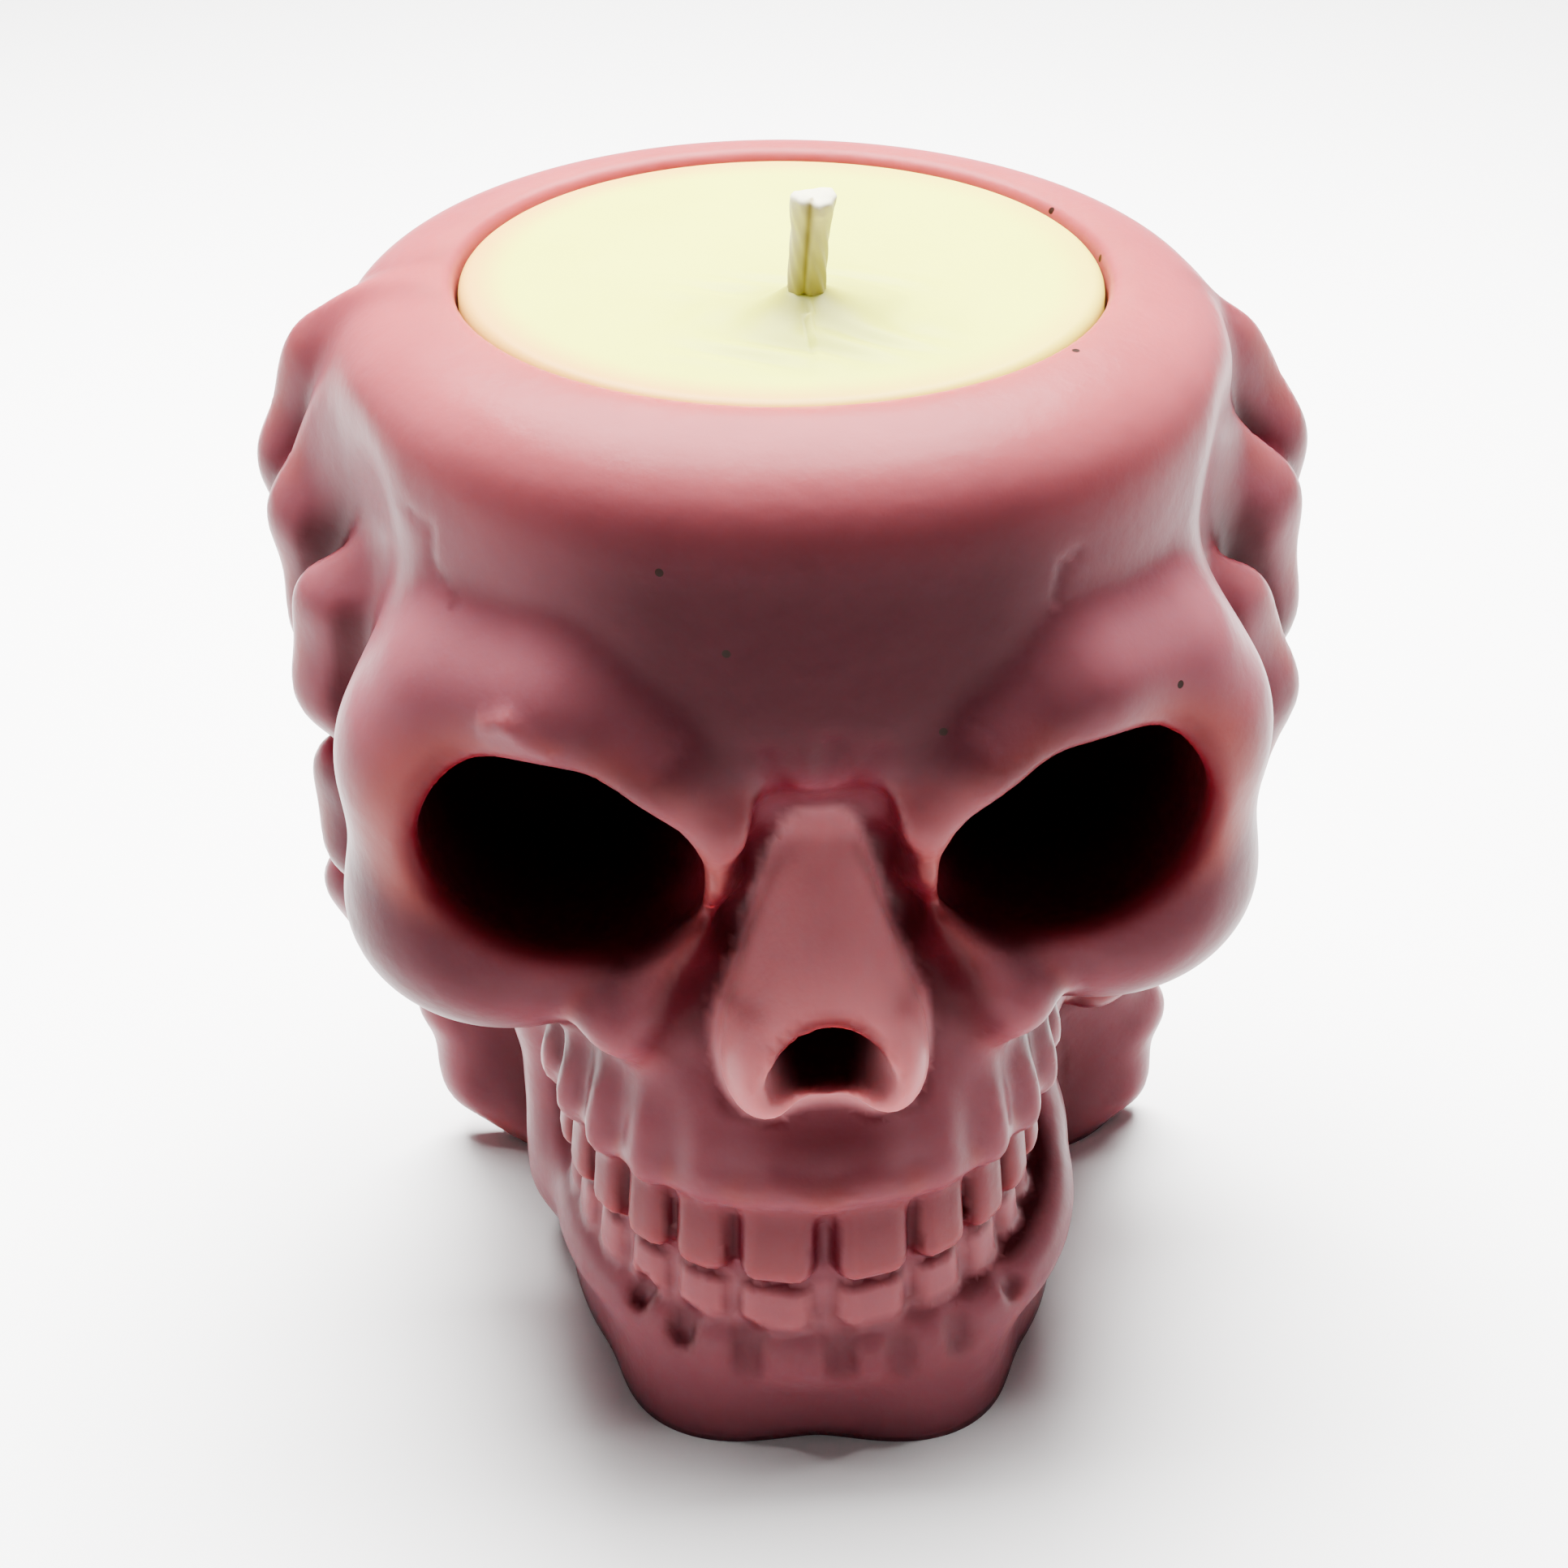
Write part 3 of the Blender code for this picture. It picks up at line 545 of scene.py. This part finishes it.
def add_mesh(name, points, *faces, **attributes):
    """A smooth mesh object at the origin from whole arrays: its points and arrays of faces.

    The other arguments are float attributes, with one value for each point.
    """
    corners = np.concatenate([group.ravel() for group in faces])
    sizes = np.concatenate([np.full(len(group), group.shape[1]) for group in faces])
    mesh = bpy.data.meshes.new(name)
    mesh.vertices.add(len(points))
    mesh.vertices.foreach_set("co", np.asarray(points, np.float32).ravel())
    mesh.loops.add(len(corners))
    mesh.loops.foreach_set("vertex_index", corners.astype(np.int32))
    mesh.polygons.add(len(sizes))
    mesh.polygons.foreach_set("loop_start", (np.cumsum(sizes) - sizes).astype(np.int32))
    mesh.update(calc_edges=True)
    for label, values in attributes.items():
        mesh.attributes.new(label, "FLOAT", "POINT").data.foreach_set("value", values.astype(np.float32))
    mesh.shade_smooth()
    piece = bpy.data.objects.new(name, mesh)
    bpy.context.scene.collection.objects.link(piece)
    return piece


def new_material(name):
    """A material with its node tree and its shader."""
    material = bpy.data.materials.new(name)
    material.use_nodes = True
    return material, material.node_tree, material.node_tree.nodes["Principled BSDF"]


def mask(tree, name):
    """The value of one of the mesh's float attributes."""
    node = tree.nodes.new("ShaderNodeAttribute")
    node.attribute_name = name
    return node.outputs["Fac"]


def mixed(tree, factor, a, b, blend="MIX"):
    """Colour a going to b with the factor; a colour is a socket or three numbers."""
    node = tree.nodes.new("ShaderNodeMix")
    node.data_type = "RGBA"
    node.blend_type = blend
    for socket, value in (("Factor", factor), ("A", a), ("B", b)):
        if isinstance(value, bpy.types.NodeSocket):
            tree.links.new(value, node.inputs[socket])
        elif socket == "Factor":
            node.inputs[socket].default_value = value
        else:
            node.inputs[socket].default_value = (*value, 1)
    return node.outputs["Result"]


def arithmetic(tree, operation, a, b):
    """A math node on two values, each a socket or a number."""
    node = tree.nodes.new("ShaderNodeMath")
    node.operation = operation
    for socket, value in zip(node.inputs, (a, b)):
        if isinstance(value, bpy.types.NodeSocket):
            tree.links.new(value, socket)
        else:
            socket.default_value = value
    return node.outputs["Value"]


def wax_skin():
    """The node group of cast wax: cloudy mottling, and a normal with low, uneven ripples."""
    if "wax_skin" in bpy.data.node_groups:
        return bpy.data.node_groups["wax_skin"]
    group = bpy.data.node_groups.new("wax_skin", "ShaderNodeTree")
    for name, value in (("Cloud size", 90.0), ("Ripple size", 320.0), ("Ripple depth", 0.0001)):
        socket = group.interface.new_socket(name=name, in_out="INPUT", socket_type="NodeSocketFloat")
        socket.default_value = value
    group.interface.new_socket(name="Mottle", in_out="OUTPUT", socket_type="NodeSocketFloat")
    group.interface.new_socket(name="Normal", in_out="OUTPUT", socket_type="NodeSocketVector")
    given = group.nodes.new("NodeGroupInput")
    result = group.nodes.new("NodeGroupOutput")
    place = group.nodes.new("ShaderNodeTexCoord")
    fields = []
    for name in ("Cloud size", "Ripple size"):
        noise = group.nodes.new("ShaderNodeTexNoise")
        noise.inputs["Detail"].default_value = 4.0
        group.links.new(place.outputs["Object"], noise.inputs["Vector"])
        group.links.new(given.outputs[name], noise.inputs["Scale"])
        fields.append(noise.outputs["Fac"])
    bump = group.nodes.new("ShaderNodeBump")
    bump.inputs["Strength"].default_value = 1.0
    group.links.new(given.outputs["Ripple depth"], bump.inputs["Distance"])
    group.links.new(fields[1], bump.inputs["Height"])
    group.links.new(fields[0], result.inputs["Mottle"])
    group.links.new(bump.outputs["Normal"], result.inputs["Normal"])
    return group


def add_skin(tree, shader, colour, mottled, ripple_depth):
    """Lay the wax skin over a colour and onto the shader's normal; the colour comes back."""
    skin = tree.nodes.new("ShaderNodeGroup")
    skin.node_tree = wax_skin()
    skin.inputs["Ripple depth"].default_value = ripple_depth
    tree.links.new(skin.outputs["Normal"], shader.inputs["Normal"])
    return mixed(tree, skin.outputs["Mottle"], colour, mixed(tree, 1.0, colour, mottled, "MULTIPLY"))


class SkullSettings(bpy.types.PropertyGroup):
    """How the cast skull is worked and coloured."""

    grain: bpy.props.FloatProperty(
        name="Grain", description="Spacing of the grid that the skull is sampled on",
        default=0.0008, unit="LENGTH", precision=5)
    lit_wax: bpy.props.FloatVectorProperty(
        name="Lit wax", description="Colour high up, where light comes through the rim",
        default=(0.27, 0.033, 0.033), size=3, subtype="COLOR", min=0, max=1)
    body_wax: bpy.props.FloatVectorProperty(
        name="Body wax", description="Colour of the thick wax",
        default=(0.165, 0.045, 0.058), size=3, subtype="COLOR", min=0, max=1)
    # Painted shade low on the forehead and on the lower cheeks
    brow_shade_wax: bpy.props.FloatVectorProperty(
        name="Brow wax", description="Dark colour low on the forehead and on the lower cheeks",
        default=(0.043, 0.005, 0.009), size=3, subtype="COLOR", min=0, max=1)
    # Painted shade: dark red in the folds, the grooves and the shaded places
    crease_shade_wax: bpy.props.FloatVectorProperty(
        name="Fold wax", description="Dark red in the folds, the grooves and the shaded places",
        default=(0.055, 0.002, 0.006), size=3, subtype="COLOR", min=0, max=1)
    # Painted shade just inside the sockets and the nose
    recess_shade_wax: bpy.props.FloatVectorProperty(
        name="Wall wax", description="Colour just inside the sockets and the nose",
        default=(0.080, 0.0025, 0.0065), size=3, subtype="COLOR", min=0, max=1)
    # Painted shade, near black, far inside the sockets and the nose
    deep_shade_wax: bpy.props.FloatVectorProperty(
        name="Deep wax", description="Colour far inside the sockets and the nose",
        default=(0.004, 0.0002, 0.0003), size=3, subtype="COLOR", min=0, max=1)
    # Painted glow: lighter orange-red on the thin edges, for light coming through the wax
    thin_glow_wax: bpy.props.FloatVectorProperty(
        name="Thin wax", description="Colour of the thin edges",
        default=(0.24, 0.052, 0.042), size=3, subtype="COLOR", min=0, max=1)
    # Painted sheen: a pale lavender reflection laid on the parts that face up
    painted_sheen: bpy.props.FloatVectorProperty(
        name="Bloom", description="Pale lavender bloom on the parts that face up",
        default=(0.27, 0.090, 0.110), size=3, subtype="COLOR", min=0, max=1)
    # Painted light: paler rose on the nose and on the lower teeth
    ridge_light: bpy.props.FloatVectorProperty(
        name="Ridge", description="Pale rose of the nose and of the lower teeth",
        default=(0.44, 0.140, 0.155), size=3, subtype="COLOR", min=0, max=1)
    speck: bpy.props.FloatVectorProperty(
        name="Specks", description="Colour of the few specks of dirt",
        default=(0.015, 0.006, 0.004), size=3, subtype="COLOR", min=0, max=1)
    roughness: bpy.props.FloatProperty(
        name="Roughness", description="How dull the wax is", default=0.34, min=0, max=1)
    gloss: bpy.props.FloatProperty(
        name="Gloss", description="How much the surface reflects", default=0.055, min=0, max=1)
    scatter: bpy.props.FloatProperty(
        name="Scatter", description="How far light travels in the wax",
        default=0.0035, unit="LENGTH", precision=4)


class StageSettings(bpy.types.PropertyGroup):
    """The studio."""

    camera: bpy.props.FloatVectorProperty(
        name="Camera", description="Where the camera stands",
        default=(-0.02241, -0.24625, 0.19802), size=3, subtype="TRANSLATION", unit="LENGTH")
    aim: bpy.props.FloatVectorProperty(
        name="Aim", description="The point it looks at",
        default=(0.0, 0.0, 0.0465), size=3, subtype="TRANSLATION", unit="LENGTH")
    lens: bpy.props.FloatProperty(
        name="Lens", description="Focal length on a 36 mm sensor", default=70.62, unit="CAMERA")
    lamp_power: bpy.props.FloatProperty(
        name="Lamp power", description="Power of the soft box overhead",
        default=33.0, min=0, unit="POWER")
    sky: bpy.props.FloatProperty(
        name="Sky", description="Strength of the even light from all round", default=0.16, min=0)


def look_at(item, target):
    """Turn a camera or a lamp towards a point."""
    item.rotation_euler = (Vector(target) - item.location).to_track_quat("-Z", "Y").to_euler()


def area_light(name, place, target, size, watts, colour):
    """A rectangular soft box aimed at a point."""
    data = bpy.data.lights.new(name, "AREA")
    data.shape = "RECTANGLE"
    data.size, data.size_y = size
    data.energy = watts
    data.color = colour
    lamp = bpy.data.objects.new(name, data)
    lamp.location = place
    bpy.context.scene.collection.objects.link(lamp)
    look_at(lamp, target)
    return lamp


class MakeStage(bpy.types.Operator):
    """Lay the pale floor, hang the soft box and set up the camera"""

    bl_idname = "candle.make_stage"
    bl_label = "Studio"

    def execute(self, context):
        settings = context.scene.candle_stage
        camera_data = bpy.data.cameras.new("camera")
        camera_data.lens = settings.lens
        camera_data.sensor_width = 36.0
        camera_data.clip_start = 0.01
        camera = bpy.data.objects.new("camera", camera_data)
        camera.location = settings.camera
        context.scene.collection.objects.link(camera)
        look_at(camera, settings.aim)
        context.scene.camera = camera

        reach = 1.5
        points = np.array([(-reach, -reach, 0), (reach, -reach, 0), (reach, reach, 0), (-reach, reach, 0)])
        floor = add_mesh("floor", points, np.array([[0, 1, 2, 3]]))
        paper, _, shader = new_material("paper")
        shader.inputs["Base Color"].default_value = (0.88, 0.88, 0.88, 1)
        shader.inputs["Roughness"].default_value = 0.9
        floor.data.materials.append(paper)

        world = bpy.data.worlds.new("studio")
        world.use_nodes = True
        world.node_tree.nodes["Background"].inputs["Color"].default_value = (1, 1, 1, 1)
        world.node_tree.nodes["Background"].inputs["Strength"].default_value = settings.sky
        context.scene.world = world
        power = settings.lamp_power
        area_light("overhead", (0.0, 0.15, 0.46), (0, 0.02, 0.06), (0.42, 0.34), power, (1, 0.99, 0.98))
        return {"FINISHED"}


def rose_wax(settings):
    """Cast rose wax with painted light and shade: pale round the bowl, dark red in the folds, with a faint
    lavender painted sheen.
    """
    material, tree, shader = new_material("rose_wax")
    colour = settings.body_wax
    # These masks lay painted light and painted shade over the body colour
    for name, wax in (("lit", settings.lit_wax), ("shade", settings.brow_shade_wax), ("thin", settings.thin_glow_wax),
                      ("painted_sheen", settings.painted_sheen), ("ridge_light", settings.ridge_light), ("fold", settings.crease_shade_wax),
                      ("wall", settings.recess_shade_wax), ("deep_shade", settings.deep_shade_wax)):
        colour = mixed(tree, mask(tree, name), colour, wax)
    colour = add_skin(tree, shader, colour, (0.72, 0.66, 0.68), 0.00012)
    place = tree.nodes.new("ShaderNodeTexCoord").outputs["Object"]
    spots = 0.0
    for speck in SPECKS:
        away = tree.nodes.new("ShaderNodeVectorMath")
        away.operation = "DISTANCE"
        tree.links.new(place, away.inputs[0])
        away.inputs[1].default_value = speck
        spot = arithmetic(tree, "LESS_THAN", away.outputs["Value"], SPECK_RADIUS)
        spots = arithmetic(tree, "MAXIMUM", spots, spot)
    colour = mixed(tree, spots, colour, settings.speck)
    tree.links.new(colour, shader.inputs["Base Color"])
    shader.inputs["Roughness"].default_value = settings.roughness
    shader.inputs["Specular IOR Level"].default_value = settings.gloss
    shader.inputs["IOR"].default_value = 1.44
    shader.inputs["Subsurface Weight"].default_value = 0.7
    shader.inputs["Subsurface Radius"].default_value = (1.0, 0.30, 0.22)
    shader.inputs["Subsurface Scale"].default_value = settings.scatter
    return material


def skull_masks(points, normal):
    """How far each point takes each painted light and painted shade, from 0 to 1, by name.

    Hollow is how much less free room there is along the normal than the reach, averaged over
    three reaches. Thin is how little wax lies below the skin. The others are bands of height,
    depth and side, or of distance to the nose, the sockets, the nostril and the nose grooves.
    The shaded places and the dark cheeks stand in for the photograph's shadows.
    """
    x, y, z = points.T
    side = np.abs(x)
    mirrored = (side, y, z)
    front = smoothstep(-y, *FRONT_BAND)

    hollow = np.zeros(len(points))
    for reach in HOLLOW_REACHES:
        free = skull_field(*(points + normal * reach).T) / reach
        hollow += np.clip(1 - free, 0, 1) / len(HOLLOW_REACHES)
    under = -skull_field(*(points - normal * THIN_DEPTH).T) / THIN_DEPTH
    lit = smoothstep(z, *LIT_BAND)

    forehead = smoothstep(-y, *FOREHEAD_FRONT_BAND) * falling(side, *FOREHEAD_SIDE_BAND)
    forehead = forehead * smoothstep(z, *FOREHEAD_FOOT_BAND) * falling(z, *FOREHEAD_TOP_BAND)
    cheeks = smoothstep(side, *CHEEK_SIDE_BAND) * falling(z, *CHEEK_TOP_BAND) * smoothstep(z, *CHEEK_FOOT_BAND)
    shade = np.maximum(forehead, np.where(x < 0, CHEEK_SHADE_LEFT, CHEEK_SHADE_RIGHT) * cheeks)

    to_nose = join(limb(mirrored, *NOSE_LINE), ball(mirrored, *NOSE_WING), 0.002)
    nose = falling(to_nose, *NOSE_BAND)
    lower_row = smoothstep(z, *LOWER_ROW_FOOT_BAND) * falling(z, *LOWER_ROW_TOP_BAND)
    socket = falling(ball(mirrored, *SOCKET_HOLE), *SOCKET_BAND)
    nostril = falling(limb(mirrored, *NOSTRIL_LINE), *NOSTRIL_BAND)
    # Painted shade on the walls just inside the sockets and the nostril
    wall = np.maximum(socket * smoothstep(y, *SOCKET_WALL_BAND),
                      nostril * smoothstep(y, *NOSTRIL_WALL_BAND))
    # Painted shade, near black, far inside the sockets and the nostril
    deep_shade = np.maximum(0.95 * socket * smoothstep(y, *SOCKET_DEEP_BAND),
                      0.5 * nostril * smoothstep(y, *NOSTRIL_DEEP_BAND))

    # Painted shade: dark red in the hollows, along the nose grooves and at the shaded places
    fold = np.maximum(0.95 * smoothstep(hollow, *HOLLOW_BAND),
                      0.8 * falling(chain(mirrored, NOSE_GROOVE_LINE, 0.003), *GROOVE_BAND))
    for half_width, height, half_height, strength in SHADED_PLACES:
        place = np.exp(-np.hypot(x / half_width, (z - height) / half_height) ** 2)
        fold = np.maximum(fold, strength * place * front)

    # Painted glow on the thin edges
    return {"lit": lit, "shade": shade, "thin": 0.6 * smoothstep(1 - under, *THIN_BAND),
            # Painted sheen, pale lavender, on the parts that face up
            "painted_sheen": 0.5 * smoothstep(normal[:, 2], *FACING_UP_BAND) * (1 - lit),
            # Painted light on the nose and on the front of the lower teeth
            "ridge_light": np.maximum(0.75 * nose, 0.30 * front * lower_row),
            "fold": fold * (1 - 0.9 * nose), "wall": 0.95 * wall, "deep_shade": deep_shade}


class MakeSkull(bpy.types.Operator):
    """Cast the wax skull cup from its distance formula"""

    bl_idname = "candle.make_skull"
    bl_label = "Wax skull"

    def execute(self, context):
        settings = context.scene.candle_skull
        grain = settings.grain
        room = Vector((4, 4, 3)) * grain
        low, high = SHELL_LOW - room, SHELL_HIGH + room
        low.z = -2.5 * grain
        axes, values = sampled(cut_field, low, high, grain)
        points, quads = zero_surface(axes, values)
        base = points[:, 2] < grain / 2
        points[base, 2] = 0
        points[~base] = settle(skull_field, points[~base], grain / 2)
        rim = np.flatnonzero(base)[skull_field(*points[base].T) > -0.7 * grain]
        points[rim] = settle(skull_field, points[rim], grain, rounds=4, flat=True)
        _, slope = gradient(skull_field, points)
        normal = slope / np.maximum(np.linalg.norm(slope, axis=1), 1e-6)[:, None]
        skull = add_mesh("rose_skull", points, quads, **skull_masks(points, normal))
        skull.data.materials.append(rose_wax(settings))
        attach(skull, "root")
        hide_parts("skull_shell")
        return {"FINISHED"}


def wrapped(rows):
    """Faces over a grid of points (rows, columns, 3) that closes round its columns.

    The first and the last row are each one point, the poles, so they get triangles.
    """
    count, columns = rows.shape[:2]
    points = np.concatenate([rows[0, :1], rows[1:-1].reshape(-1, 3), rows[-1, :1]])
    column = np.arange(columns)
    ahead = (column + 1) % columns
    ring = 1 + np.arange(count - 2)[:, None] * columns
    quads = np.stack([ring[:-1] + column, ring[1:] + column, ring[1:] + ahead, ring[:-1] + ahead], -1)
    last = len(points) - 1
    top = np.stack([np.zeros(columns, int), ring[0] + column, ring[0] + ahead], -1)
    bottom = np.stack([np.full(columns, last), ring[-1] + ahead, ring[-1] + column], -1)
    return points, quads.reshape(-1, 4), np.concatenate([top, bottom])


class FillSettings(bpy.types.PropertyGroup):
    """The poured fill."""

    mound: bpy.props.FloatProperty(
        name="Mound", description="How far the wax is drawn up round the wick",
        default=0.0026, unit="LENGTH", precision=5)
    wrinkle: bpy.props.FloatProperty(
        name="Wrinkle", description="Height of the soft wrinkles beside the wick",
        default=0.00025, unit="LENGTH", precision=5)
    middle: bpy.props.FloatVectorProperty(
        name="Middle", description="Colour of the thick middle of the fill",
        default=(0.54, 0.60, 0.05), size=3, subtype="COLOR", min=0, max=1)
    border: bpy.props.FloatVectorProperty(
        name="Border", description="Colour where the rose wall shows through",
        default=(0.56, 0.30, 0.06), size=3, subtype="COLOR", min=0, max=1)
    # Painted shade of the mound round the wick, in a darker olive
    drawn: bpy.props.FloatVectorProperty(
        name="Mound colour", description="Colour of the wax drawn up round the wick",
        default=(0.17, 0.155, 0.014), size=3, subtype="COLOR", min=0, max=1)


def cream_wax(settings):
    """Poured cream wax, with painted shade in darker olive round the wick, and orange-pink at its border."""
    material, tree, shader = new_material("cream_wax")
    colour = mixed(tree, mask(tree, "border"), settings.middle, settings.border)
    colour = mixed(tree, mask(tree, "drawn"), colour, settings.drawn)
    colour = add_skin(tree, shader, colour, (0.86, 0.84, 0.60), 0.00006)
    tree.links.new(colour, shader.inputs["Base Color"])
    shader.inputs["Roughness"].default_value = 0.42
    shader.inputs["Specular IOR Level"].default_value = 0.12
    shader.inputs["Subsurface Weight"].default_value = 0.4
    shader.inputs["Subsurface Radius"].default_value = (1.0, 0.9, 0.5)
    shader.inputs["Subsurface Scale"].default_value = 0.002
    return material


class MakeFill(bpy.types.Operator):
    """Pour the cream wax, drawn up in a mound round the wick"""

    bl_idname = "candle.make_fill"
    bl_label = "Poured fill"

    def execute(self, context):
        settings = context.scene.candle_fill
        top, floor, edge, low = FILL_TOP, FILL_LOW.z, FILL_EDGE, BOWL_CORNER
        turn = np.linspace(0, 2 * math.pi, FILL_COLUMNS, endpoint=False)
        out = np.linspace(0, 1, 90)[1:]
        flat = np.stack([out * (FILL_RADIUS - edge), np.full(len(out), top)], 1)
        bend = np.linspace(0, math.pi / 2, 7)[1:]
        corner = np.stack([FILL_RADIUS - edge + edge * np.sin(bend), top - edge + edge * np.cos(bend)], 1)
        wall = np.array([(FILL_RADIUS, floor + low + 0.004), (FILL_RADIUS, floor + low)])
        foot = np.stack([FILL_RADIUS - low + low * np.cos(bend), floor + low - low * np.sin(bend)], 1)
        inner = np.array([(FILL_RADIUS * 0.4, floor), (0, floor)])
        profile = np.concatenate([[(0, top)], flat, corner, wall, foot, inner])
        radius, height = profile[:, :1], profile[:, 1:]
        x = radius * np.cos(turn)
        y = BOWL_Y + radius * np.sin(turn)
        z = np.broadcast_to(height, x.shape).copy()
        tail = np.where(x > WICK_X, MOUND_TAILS[1], MOUND_TAILS[0])
        away = np.hypot(x - WICK_X, y - WICK_Y)
        drawn = np.exp(-(np.maximum(away - MOUND_CORE, 0) / tail) ** 1.3)
        beside = np.exp(-((away - WRINKLE_RING[0]) / WRINKLE_RING[1]) ** 2)
        wrinkle = beside * np.sin(900 * (x + 0.6 * y) + 3 * np.sin(420 * y))
        wrinkle = wrinkle * smoothstep(-y, -BOWL_Y - 0.006, -BOWL_Y + 0.004)
        z += np.where(height > top - edge, settings.mound * drawn + settings.wrinkle * wrinkle, 0)
        points, quads, poles = wrapped(np.stack([x, y, z], -1))
        from_middle = np.hypot(points[:, 0], points[:, 1] - BOWL_Y)
        left = 1 - 0.5 * smoothstep(points[:, 0], -0.010, 0.020)
        border = left * smoothstep(from_middle, FILL_RADIUS - BORDER_WIDTH[0], FILL_RADIUS - BORDER_WIDTH[1])
        # Painted shade of the mound: darker olive round the wick
        from_wick = np.hypot(points[:, 0] - WICK_X - DRAWN_SHIFT, points[:, 1] - WICK_Y + DRAWN_SHIFT)
        fill = add_mesh("cream_fill", points, quads, poles, border=border,
                        drawn=0.85 * np.exp(-(from_wick / DRAWN_REACH) ** 1.6))
        fill.data.materials.append(cream_wax(settings))
        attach(fill, "root")
        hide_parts("candle_fill")
        return {"FINISHED"}


class WickSettings(bpy.types.PropertyGroup):
    """The wick and the tin foot under it."""

    lean: bpy.props.FloatProperty(
        name="Lean", description="How far the top leans to the right",
        default=0.0007, unit="LENGTH", precision=5)
    flare: bpy.props.FloatProperty(
        name="Flare", description="How much wider the cut top is than the stem",
        default=0.0003, unit="LENGTH", precision=5)
    cotton: bpy.props.FloatVectorProperty(
        name="Cotton", description="Colour of the waxed top",
        default=(0.62, 0.60, 0.44), size=3, subtype="COLOR", min=0, max=1)
    # Real wax stain on the lower stem, and painted shade in its groove
    stain: bpy.props.FloatVectorProperty(
        name="Stain", description="Colour of the waxy stem and its groove",
        default=(0.24, 0.20, 0.08), size=3, subtype="COLOR", min=0, max=1)
    tin: bpy.props.FloatVectorProperty(
        name="Tin", description="Colour of the foot",
        default=(0.62, 0.62, 0.63), size=3, subtype="COLOR", min=0, max=1)


def waxed_cotton(settings):
    """Cotton stiff with wax: pale at the top, stained below, with painted shade in its groove and the twist of
    its strands.
    """
    material, tree, shader = new_material("waxed_cotton")
    colour = mixed(tree, mask(tree, "stain"), settings.cotton, settings.stain)
    colour = add_skin(tree, shader, colour, (0.80, 0.78, 0.70), 0.00008)
    tree.links.new(colour, shader.inputs["Base Color"])
    shader.inputs["Roughness"].default_value = 0.6
    shader.inputs["Specular IOR Level"].default_value = 0.25
    return material


def tin_sheet(settings):
    """Plain tinned sheet."""
    material, _, shader = new_material("tin")
    shader.inputs["Base Color"].default_value = (*settings.tin, 1)
    shader.inputs["Metallic"].default_value = 1.0
    shader.inputs["Roughness"].default_value = 0.35
    return material


class MakeWick(bpy.types.Operator):
    """Stand the waxed cotton wick, cut and a little frayed at the top, on its tin foot"""

    bl_idname = "candle.make_wick"
    bl_label = "Wick"

    def execute(self, context):
        settings = context.scene.candle_wick
        foot = FILL_TOP - WICK_BURIED
        tip = WICK_HIGH.z - WICK_SHORTER
        share = np.linspace(0, 1, 60)
        height = foot + (tip - foot) * share[::-1]
        width = WICK_RADIUS + settings.flare * smoothstep(height, tip - 0.0030, tip - 0.0006)
        width[0] -= 0.0002
        profile_r = np.concatenate([[0], width[:1] * 0.6, width, [0]])[:, None]
        profile_z = np.concatenate([[tip - 0.0003], [tip], height, [foot]])[:, None]
        turn = np.linspace(0, 2 * math.pi, WICK_COLUMNS, endpoint=False)
        groove_angle, groove_width, groove_depth = WICK_GROOVE
        groove = np.exp(-((turn - groove_angle) / groove_width) ** 2)
        strands = STRAND_HEIGHT * np.sin(9 * turn + 2600 * profile_z)
        reach = profile_r * (1 - groove_depth * groove) + strands * (profile_r > 0)
        above = np.maximum(profile_z - foot, 0) / (tip - foot)
        x = WICK_X + reach * np.cos(turn) + settings.lean * above ** 2
        y = WICK_Y + reach * np.sin(turn)
        z = profile_z + 0.0002 * np.sin(2 * turn + 1) * (above > 0.9)
        points, quads, poles = wrapped(np.stack([x, y, z], -1))
        rows = len(profile_z) - 2
        # The lower stem is stained by wax; its groove is darkened as painted shade
        lower = 1 - smoothstep(np.tile(above[1:-1], (1, len(turn))), 0.30, 0.92)
        stain = np.maximum(lower, np.tile(groove, (rows, 1))).ravel()
        wick = add_mesh("cotton_wick", points, quads, poles, stain=np.concatenate([[0], stain, [1]]))
        wick.data.materials.append(waxed_cotton(settings))
        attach(wick, "root")
        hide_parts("wick")
        tin_foot = bpy.data.objects["wick_foot"]
        tin_foot.data.materials.clear()
        tin_foot.data.materials.append(tin_sheet(settings))
        return {"FINISHED"}


class CandlePanel(bpy.types.Panel):
    """The pieces of the candle, in the order in which they are made"""

    bl_idname = "CANDLE_PT_pieces"
    bl_label = "Skull candle"
    bl_space_type = "VIEW_3D"
    bl_region_type = "UI"
    bl_category = "Candle"

    def draw(self, context):
        for maker in MAKERS:
            self.layout.operator(maker.bl_idname)


SETTINGS = {"candle_stage": StageSettings, "candle_skull": SkullSettings,
            "candle_fill": FillSettings, "candle_wick": WickSettings}
MAKERS = (MakeStage, MakeSkull, MakeFill, MakeWick)


def register():
    for group in (*SETTINGS.values(), *MAKERS, CandlePanel):
        bpy.utils.register_class(group)
    for name, group in SETTINGS.items():
        setattr(bpy.types.Scene, name, bpy.props.PointerProperty(type=group))


def unregister():
    for name in SETTINGS:
        delattr(bpy.types.Scene, name)
    for group in reversed((*SETTINGS.values(), *MAKERS, CandlePanel)):
        bpy.utils.unregister_class(group)


def main():
    """Make every piece in order."""
    register()
    for maker in MAKERS:
        group, name = maker.bl_idname.split(".")
        getattr(getattr(bpy.ops, group), name)()


if __name__ == "__main__":
    main()
